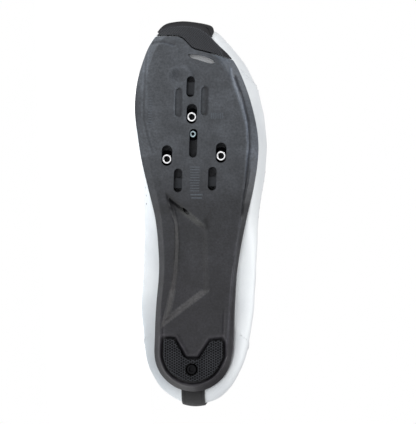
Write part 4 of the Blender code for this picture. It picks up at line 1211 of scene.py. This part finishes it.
def upperMesh():
    turns = np.arange(upperLook["ringSteps"]) * ring / upperLook["ringSteps"]
    ribs = np.concatenate([[-1.0, -0.5, 0.0], np.linspace(0.03, 1, 18), np.linspace(1, upperTop, 38)[1:]])
    r, s = np.meshgrid(turns, ribs, indexing="ij")
    base = form(r, s)
    out = formOutward(r, s)
    out[s <= 0] = (0, 0, -1)
    outside = base + out * (upperRelief(r, s, base) * (s > 0))[..., None]
    ribsIn = np.concatenate([np.linspace(upperTop, 1, 22), np.linspace(1, 0.15, 6)[1:]])
    ri, si = np.meshgrid(turns, ribsIn, indexing="ij")
    inside = offForm(ri, si, -wallAt(ri, si))
    marginTop = soleCurve(3, edgeXy(turns)[..., 1]) + shoe["gap"] + shoe["upperWall"]
    inside[..., 2] = np.maximum(inside[..., 2], marginTop[:, None])
    inEdge = edgeXy(turns) - edgeOutward(turns) * shoe["upperWall"]
    inEdge = np.concatenate([inEdge, marginTop[:, None]], axis=1)
    inMargin = form(turns, -1.0) + np.array([0, 0, shoe["upperWall"]])
    # the rolled edge at collar and throat
    top = form(turns, upperTop)
    across = formOutward(turns, upperTop)
    lead = unit(top - form(turns, 1.95))
    half = wallAt(turns, upperTop) / 2
    crown = np.minimum(half, 0.0013)
    roll = []
    for a in np.linspace(0, math.pi, 9)[1:-1]:
        bend = across * (half * (math.cos(a) - 1))[:, None] + lead * (crown * math.sin(a))[:, None]
        roll.append(top + bend)
    columns = [outside, np.stack(roll, axis=1), inside, inEdge[:, None], inMargin[:, None]]
    columns = np.concatenate(columns, axis=1)
    count = columns.shape[1]
    faces = gridFaces(len(turns), count, closedRows=True, closedColumns=True)
    k = np.tile(np.arange(count), len(turns))
    lining = (k >= outside.shape[1] + 4).astype(np.int32)
    return columns.reshape(-1, 3), faces, lining


def upperMaterial():
    look = upperLook
    made, tree, shader = newMaterial(
        "upperMicrofibre", look["colour"], look["roughness"], sheen=0.12, coat=0.05, coatRoughness=0.4,
    )
    where = shoePoint(tree)
    cloud = noiseNode(tree, where, 22.0, 3.0)
    pores = poresNode(tree, where, 1250.0)
    grain = noiseNode(tree, where, 1400.0, 4.0)
    base = rampNode(tree, cloud, ((0.3, look["shadeColour"]), (0.62, look["colour"])))
    fleck = rampNode(tree, grain, ((0.3, 0.965), (0.65, 1.0)))
    # painted shade: the inner side of the heel is greyer
    parts = addNode(tree, "SeparateXYZ", {0: where})
    innerSide = rampNode(tree, scaled(tree, parts.outputs["X"], 20.0), ((0.0, 0.0), (0.5, 1.0)))
    along = mathNode(tree, "DIVIDE", parts.outputs["Y"], shoe["length"])
    heelEnd = rampNode(tree, along, ((0.08, 1.0), (0.30, 0.0)))
    base = mixNode(tree, scaled(tree, innerSide, heelEnd), base, tinted(tree, base, look["innerHeelShade"]))
    setColour(tree, shader, tinted(tree, base, fleck))
    rough = summed(tree, scaled(tree, grain, 0.18), look["roughness"] - 0.08)
    tree.links.new(rough, shader.inputs["Roughness"])
    height = summed(tree, scaled(tree, pores, 0.8), scaled(tree, grain, 0.5))
    addBump(tree, shader, height, 0.22, 0.00025)
    return made


def liningMaterial():
    made, tree, shader = newMaterial("liningMesh", upperLook["liningColour"], 0.85, sheen=0.3)
    where = shoePoint(tree)
    pores = poresNode(tree, where, 700.0, 0.15)
    weave = noiseNode(tree, where, 1500.0, 2.0)
    threads = ((0.25, (0.035, 0.036, 0.04)), (0.5, (0.14, 0.145, 0.155)))
    setColour(tree, shader, rampNode(tree, pores, threads))
    addBump(tree, shader, summed(tree, pores, scaled(tree, weave, 0.5)), 0.5, 0.0004)
    return made


upperPoints, upperFaces, upperLining = upperMesh()
upperMaterials = [upperMaterial(), liningMaterial()]
upper = makeMesh(
    "upperShell", upperPoints, upperFaces, upperMaterials, "upper", upperLining, sharp=60,
)
print("upper", len(upper.data.polygons))


# stitches and ventilation holes on the upper

stitchLook = {"spacing": 0.0026, "length": 0.0019, "radius": 0.00026, "beside": 0.0016}


def walkPath(r, s, spacing):
    run = lengthAlong(form(r, s))
    at = np.arange(spacing / 2, run[-1], spacing)
    return np.interp(at, run, r), np.interp(at, run, s)


def addStitch(points, faces, centre, ahead, side, out, rise=0.0):
    # a short thread whose ends narrow and dip into the skin
    start, half = len(points), stitchLook["length"] / 2
    rings = ((-1.0, 0.35, -0.6), (-0.6, 1.0, rise), (0.6, 1.0, rise), (1.0, 0.35, -0.6))
    for along, share, up in rings:
        for turn in range(6):
            angle = turn * math.pi / 3
            offset = (side * math.cos(angle) + out * math.sin(angle)) * share + out * up
            points.append(centre + ahead * along * half + offset * stitchLook["radius"])
    faces.extend(stackFaces(start, 4, 6))


def stitchRow(points, faces, r, s, shift, lift):
    rr, ss = walkPath(r, s, stitchLook["spacing"])
    here, out = form(rr, ss), formOutward(rr, ss)
    ahead = unit(np.gradient(here, axis=0))
    side = np.cross(out, ahead)
    for p, n, a, b in zip(here, out, ahead, side):
        addStitch(points, faces, p + b * shift + n * lift, a, b, n)


def threadMaterial():
    made, tree, shader = newMaterial("thread", (0.72, 0.74, 0.76), 0.6, sheen=0.3)
    twist = waveNode(tree, shoePoint(tree), 1600.0, "DIAGONAL")
    setColour(tree, shader, rampNode(tree, twist, ((0.2, (0.58, 0.60, 0.62)), (0.8, (0.80, 0.82, 0.84)))))
    addBump(tree, shader, twist, 0.4, 0.0001)
    return made


whiteThread = threadMaterial()


def makeStitches():
    points, faces = [], []
    for line in seams:
        for shift in (stitchLook["beside"], -stitchLook["beside"]):
            stitchRow(points, faces, *surfacePath(line), shift, 0.0003)
    counterS = np.linspace(0.25, 1.74, 60)
    edges = (
        (counterLine(counterS) - 0.13, counterS, upperLook["counterStep"]),
        (np.linspace(7.6, 17.9, 120), np.full(120, 1.80), upperLook["facingStep"]),
        (np.linspace(0.2, 6.9, 90), np.full(90, 1.90), 0.0),
    )
    for r, s, step in edges:
        for onSide in (r, ring - r):
            stitchRow(points, faces, onSide, s, 0.0, step + 0.0001)
    return makeMesh("upperStitches", points, faces, [whiteThread], None, sharp=80)


makeStitches()


# the holes are dark discs: the dark lining seen through them, with painted shade inside the holes
def holeMaterial():
    made, tree, shader = newMaterial("holeDark", (0.03, 0.03, 0.032), 0.9)
    grain = noiseNode(tree, shoePoint(tree), 900.0)
    setColour(tree, shader, rampNode(tree, grain, ((0.3, (0.02, 0.02, 0.022)), (0.7, (0.06, 0.06, 0.065)))))
    return made


# Blocks of small holes: first ring number and rib place, steps between holes, steps between rows, radius.
holeBlocks = (
    {"first": (14.55, 1.30), "step": 0.36, "row": (0.18, 0.115), "counts": (9, 8, 7, 6), "radius": 0.00065},
    {"first": (9.0, 1.02), "step": 0.33, "row": (0.16, 0.10), "counts": (6, 6, 6), "radius": 0.0006},
)
holes = [(10.06 - i * 0.30, 0.62, 0.00075) for i in range(3)]
for block in holeBlocks:
    for row, count in enumerate(block["counts"]):
        for i in range(count):
            r = block["first"][0] + i * block["step"] + row * block["row"][0]
            s = block["first"][1] + row * block["row"][1]
            holes += [(r, s, block["radius"]), (ring - r, s, block["radius"])]


def makeHoles():
    points, faces = [], []
    for r, s, radius in holes:
        centre, out = form(r, s), formOutward(r, s)
        high = float(upperRelief(np.array([r]), np.array([s]), centre[None])[0])
        side = unit(np.cross(out, (0.0, 0.0, 1.0)))
        other = np.cross(out, side)
        start = len(points)
        for lift in (-0.0004, 0.00006):
            for a in np.arange(12) * math.pi / 6:
                around = (side * math.cos(a) + other * math.sin(a)) * radius
                points.append(centre + out * (high + lift) + around)
        faces.extend(stackFaces(start, 2, 12))
    return makeMesh("ventHoles", points, faces, [holeMaterial()], None, sharp=30)


makeHoles()
print("stitches and holes")


# tongue and straps

def hermite(start, end, leadIn, leadOut, q):
    return (
        start * (1 + 2 * q) * (1 - q) ** 2 + leadIn * q * (1 - q) ** 2
        + end * q * q * (3 - 2 * q) + leadOut * q * q * (1 - q)
    )


def acrossThroat(t, wings, distance, middles=12):
    # a line over the throat: along both wings, and bent freely between them
    inner, outer = offForm(t, wings, distance), offForm(ring - t, wings, distance)
    start, end = inner[-1], outer[-1]
    span = np.linalg.norm(end - start)
    leadIn = unit(start - offForm(t, 1.9, distance)) * span
    leadOut = unit(end - offForm(ring - t, 1.9, distance)) * span
    shares = [i / (middles + 1) for i in range(1, middles + 1)]
    between = [hermite(start, end, leadIn, leadOut, q) for q in shares]
    return np.array([*inner, *between, *outer[::-1]])


vampR, vampS = np.meshgrid(np.linspace(11, 25, 85), np.linspace(1.3, 2.0, 60), indexing="ij")


def underVamp(xs, y, distance):
    vamp = offForm(vampR, vampS, -distance).reshape(-1, 3)
    made = []
    for x in xs:
        made.append((x, y, vamp[np.argmin((vamp[:, 0] - x) ** 2 + (vamp[:, 1] - y) ** 2), 2]))
    return np.array(made)


# Rounded top end of the tongue: how far back, how far up, share of the width.
tongueEnd = (
    (0.0180, 0.0130, 0.50), (0.0177, 0.0129, 0.66), (0.0170, 0.0125, 0.77), (0.0158, 0.0119, 0.84),
    (0.0140, 0.0110, 0.88), (0.0110, 0.0090, 0.90), (0.0075, 0.0062, 0.91), (0.0040, 0.0035, 0.92),
    (0.0020, 0.0017, 0.95),
)
# Its front end under the vamp: how far along, share of the width.
tongueFront = ((0.2110, 0.86), (0.2150, 0.77), (0.2190, 0.68))


def narrowed(xs, share):
    return xs.mean() + (xs - xs.mean()) * share


def tongueRows(depth):
    wings = np.linspace(1.80, 2.0, 5)
    rows = [acrossThroat(t, wings, -depth) for t in np.arange(8, 13.01, 0.125)]
    first = acrossThroat(8.0, np.linspace(1.97, 2.0, 5), -depth)
    above = []
    for back, lift, share in tongueEnd:
        row = first + np.array([0.0, -back, lift])
        row[:, 0] = narrowed(first[:, 0], share)
        above.append(row)
    front = [underVamp(narrowed(rows[-1][:, 0], share), y, depth) for y, share in tongueFront]
    return np.array(above + rows + front)


def crossLoops(high, low):
    # one rounded closed loop round each section, from its upper and lower lines
    rim = (high[:, :1] + low[:, :1]) / 2, (high[:, -1:] + low[:, -1:]) / 2
    inward = [high[:, 1:2] - high[:, :1], high[:, -2:-1] - high[:, -1:]]
    thick = np.linalg.norm(high[:, :1] - low[:, :1], axis=2, keepdims=True)
    bulged = []
    for centre, lead in zip(rim, inward):
        lead = lead / np.maximum(np.linalg.norm(lead, axis=2, keepdims=True), 1e-9)
        bulged.append(centre - lead * thick * 0.32)
    return np.concatenate([high, bulged[1], low[:, ::-1], bulged[0]], axis=1)


tongueLook = {
    "colour": (0.66, 0.68, 0.70),
    "quilt": 0.0007,
    "quiltEdge": 0.42,
    "quiltRows": 9,
    "gapUnder": 0.00275,
    "endThickness": (0.40, 0.66, 0.84, 0.95),
}


def clothMaterial(name, colour, scale, strength=0.5, roughness=0.8, sheen=0.4):
    made, tree, shader = newMaterial(name, colour, roughness, sheen=sheen)
    where = shoePoint(tree)
    weave = scaled(tree, waveNode(tree, where, scale, "X"), waveNode(tree, where, scale, "Y"))
    dark, light = tuple(c * 0.62 for c in colour), tuple(min(1.0, c * 1.08) for c in colour)
    base = rampNode(tree, weave, ((0.05, dark), (0.55, light)))
    cloud = rampNode(tree, noiseNode(tree, where, 60.0, 3.0), ((0.3, 0.93), (0.7, 1.03)))
    setColour(tree, shader, tinted(tree, base, cloud))
    addBump(tree, shader, weave, strength, 0.0003)
    return made


def makeTongue():
    high = tongueRows(tongueLook["gapUnder"])
    low = tongueRows(tongueLook["gapUnder"] + shoe["tongueThick"])
    full = np.ones((len(high), 1, 1))
    full[:len(tongueLook["endThickness"]), 0, 0] = tongueLook["endThickness"]
    middle = (high + low) / 2
    high, low = middle + (high - middle) * full, middle + (low - middle) * full
    across = np.abs(np.linspace(-1, 1, high.shape[1]))
    along = np.linspace(0, 1, high.shape[0])
    sides = bell(across - tongueLook["quiltEdge"], 0.05)
    rows = bell(np.mod(along * tongueLook["quiltRows"], 1) - 0.5, 0.09)
    sunk = np.maximum(sides[None, :], rows[:, None] * (across < tongueLook["quiltEdge"]))
    high = high + unit(low - high) * (tongueLook["quilt"] * sunk)[..., None]
    tongueCloth = clothMaterial("tongueCloth", tongueLook["colour"], 420.0)
    return loopSolid("tongueShell", crossLoops(high, low), [tongueCloth], "tongue", sharp=70)


tongue = makeTongue()

# Piece, node, first and last ring number.
straps = (
    ("strapTop", "strap_top", 8.0, 9.0), ("strapMiddle", "strap_middle", 9.5, 10.5),
    ("strapFront", "strap_front", 11.0, 12.0),
)
strapLook = {"colour": (0.78, 0.81, 0.83), "start": 1.40, "lift": 0.00036, "tip": 0.010, "columns": 15}


def strapMaterial():
    made, tree, shader = newMaterial("strapMicrofibre", strapLook["colour"], 0.45, sheen=0.15)
    where = shoePoint(tree)
    grain = noiseNode(tree, where, 1300.0, 3.0)
    cloud = noiseNode(tree, where, 45.0)
    colour = rampNode(tree, cloud, ((0.3, (0.72, 0.75, 0.78)), (0.65, strapLook["colour"])))
    setColour(tree, shader, tinted(tree, colour, rampNode(tree, grain, ((0.3, 0.95), (0.7, 1.0)))))
    height = summed(tree, poresNode(tree, where, 1400.0), scaled(tree, grain, 0.5))
    addBump(tree, shader, height, 0.3, 0.0002)
    return made


strapMicrofibre = strapMaterial()


def strapGrid(first, last, distance):
    wings = np.linspace(strapLook["start"], 2.0, 26)
    middle, half = (first + last) / 2, (last - first) / 2
    offsets = np.linspace(-1, 1, strapLook["columns"])
    lines = [acrossThroat(middle + half * offset, wings, distance, 24) for offset in offsets]
    grid = np.array(lines).transpose(1, 0, 2)
    run = lengthAlong(grid[:, len(offsets) // 2])
    left = run[-1] - run
    tip = strapLook["tip"]
    taper = np.where(left < tip, (1 - (1 - left / tip) ** 2.6), 1.0) ** 0.5
    made = np.empty_like(grid)
    for i, share in enumerate(np.maximum(taper, 0.12)):
        for k in range(3):
            made[i, :, k] = np.interp(np.clip(offsets * share, -1, 1), offsets, grid[i, :, k])
    return made


def pointAt(at, run, line):
    return np.array([np.interp(at, run, line[:, k]) for k in range(3)])


def strapStitches(points, faces, grid, out):
    for c in (1, grid.shape[1] - 2):
        line = grid[:, c]
        run = lengthAlong(line)
        for at in np.arange(0.003, run[-1] - 0.004, stitchLook["spacing"]):
            here, normal = pointAt(at, run, line), pointAt(at, run, out[:, c])
            ahead = unit(pointAt(at + 0.0005, run, line) - here)
            addStitch(points, faces, here, ahead, np.cross(normal, ahead), normal, rise=0.1)


strapPoints, strapFaces = [], []
for name, node, first, last in straps:
    low = strapGrid(first, last, strapLook["lift"])
    high = strapGrid(first, last, strapLook["lift"] + shoe["strapThick"])
    out = unit(high - low)
    swell = np.cos(np.linspace(-1, 1, low.shape[1]) * math.pi / 2) ** 0.25
    high = low + out * (shoe["strapThick"] * (0.78 + 0.22 * swell))[None, :, None]
    loopSolid(name, crossLoops(high, low), [strapMicrofibre], node, sharp=70)
    strapStitches(strapPoints, strapFaces, high, out)
makeMesh("strapStitches", strapPoints, strapFaces, [whiteThread], None, sharp=80)
print("tongue and straps")


# heel strip: black webbing up the back

stripLook = {
    "colour": (0.0150, 0.0150, 0.0165),
    "width": 0.0168,
    "thick": 0.0010,
    "middle": 0.0013,
    "lift": 0.00099,
}


def stripRow(s, distance, xs):
    spread = np.linspace(-1.6, 1.6, 161)
    line = offForm(spread % ring, s, distance)
    where = np.interp(-(stripLook["middle"] + xs), -line[::-1, 0], spread[::-1])
    return offForm(where % ring, s, distance)


def stitchedEdges(made):
    tree = made.node_tree
    shader = tree.nodes["Principled BSDF"]
    cloth = shader.inputs["Base Color"].links[0].from_socket
    across = addNode(tree, "SeparateXYZ", {0: shoePoint(tree)}).outputs["X"]
    fromMiddle = mathNode(tree, "ABSOLUTE", mathNode(tree, "SUBTRACT", across, stripLook["middle"]))
    seamBand = ((0.56, 1.0), (0.61, 0.35), (0.66, 0.35), (0.71, 1.15))
    setColour(tree, shader, tinted(tree, cloth, rampNode(tree, scaled(tree, fromMiddle, 100.0), seamBand)))


stripXs = np.linspace(stripLook["width"] / 2, -stripLook["width"] / 2, 17)
stripS = np.concatenate([np.linspace(0.02, 1, 24), np.linspace(1, 1.97, 36)[1:]])
stripLow, stripHigh = (
    np.array([stripRow(s, height, stripXs) for s in stripS])
    for height in (stripLook["lift"], stripLook["lift"] + stripLook["thick"])
)
stripWebbing = clothMaterial("stripWebbing", stripLook["colour"], 560.0, 0.8, 0.75, 0.15)
stitchedEdges(stripWebbing)
stripLoops = crossLoops(stripHigh, stripLow)
loopSolid("heelStripShell", stripLoops, [stripWebbing], "heel_strip", sharp=60)
insoleCloth = clothMaterial("insoleCloth", (0.05, 0.052, 0.058), 500.0, 0.5, 0.9, 0.2)
recoat(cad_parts["insole"], insoleCloth)


# floor, light and camera

room = {
    "floorColour": (0.92, 0.93, 0.94),
    "floorGlow": 0.9,
    "floorBounce": 0.6,
    "world": 0.30,
    "backdrop": 1.0,
    "aim": (-0.0016, -0.047, 0.0514),
    "distance": 1.5,
    "millimetresPerPixel": 0.7362,
    "height": 0.005,
    "roll": 0.033,
    "sensor": 36,
    "pixelsHigh": 424,
}


def areaLight(name, location, target, size, power):
    light = bpy.data.lights.new(name, "AREA")
    light.shape = "RECTANGLE"
    light.size, light.size_y = size
    light.energy = power
    made = newObject(name, light)
    made.location = location
    made.rotation_mode = "QUATERNION"
    made.rotation_quaternion = (Vector(target) - Vector(location)).to_track_quat("-Z", "Y")


def seenOrNot(tree, toCamera, toOthers):
    # one strength for what the camera sees straight on, another for the light that falls on the shoe
    seen = addNode(tree, "LightPath").outputs["Is Camera Ray"]
    return summed(tree, scaled(tree, seen, toCamera - toOthers), toOthers)


def makeFloor():
    mesh = bpy.data.meshes.new("floor")
    mesh.from_pydata([(-6, -6, 0), (6, -6, 0), (6, 6, 0), (-6, 6, 0)], [], [(0, 1, 2, 3)])
    made, tree, shader = newMaterial("paleFloor", room["floorColour"], 0.9)
    cloud = noiseNode(tree, addNode(tree, "TexCoord").outputs["Object"], 3.0)
    setColour(tree, shader, rampNode(tree, cloud, ((0.3, (0.91, 0.92, 0.93)), (0.7, (0.93, 0.94, 0.95)))))
    shader.inputs["Emission Color"].default_value = (1, 1, 1, 1)
    glow = seenOrNot(tree, room["floorGlow"], room["floorBounce"])
    tree.links.new(glow, shader.inputs["Emission Strength"])
    mesh.materials.append(made)
    newObject("floor", mesh)


makeFloor()
world = bpy.data.worlds.new("studio")
bpy.context.scene.world = world
world.use_nodes = True
worldTree = world.node_tree
background = worldTree.nodes["Background"]
background.inputs["Color"].default_value = (1, 1, 1, 1)
brightness = seenOrNot(worldTree, room["backdrop"], room["world"])
worldTree.links.new(brightness, background.inputs["Strength"])
bpy.context.scene.view_settings.view_transform = "Standard"
areaLight("keyLight", (-0.62, -0.55, 0.80), (-0.04, -0.04, 0.05), (0.7, 0.7), 6.0)
areaLight("sideLight", (0.25, -0.28, 0.95), (0.04, -0.04, 0.05), (0.9, 0.4), 4.2)

aim = Vector(room["aim"])
camera = bpy.data.cameras.new("camera")
cameraObject = newObject("camera", camera)
bpy.context.scene.camera = cameraObject
camera.sensor_width = room["sensor"]
frameHeight = room["millimetresPerPixel"] * room["pixelsHigh"] / 1000
camera.lens = room["sensor"] * room["distance"] / frameHeight
drop = (aim.z - room["height"]) / room["distance"]
cameraObject.location = (aim.x, aim.y - room["distance"] * math.sqrt(1 - drop * drop), room["height"])
ahead = (aim - cameraObject.location).normalized()
upward = Vector((-math.cos(room["roll"]), 0, math.sin(room["roll"])))
sideways = ahead.cross(upward).normalized()
upward = sideways.cross(ahead)
cameraObject.rotation_mode = "QUATERNION"
cameraObject.rotation_quaternion = Matrix((sideways, upward, -ahead)).transposed().to_quaternion()
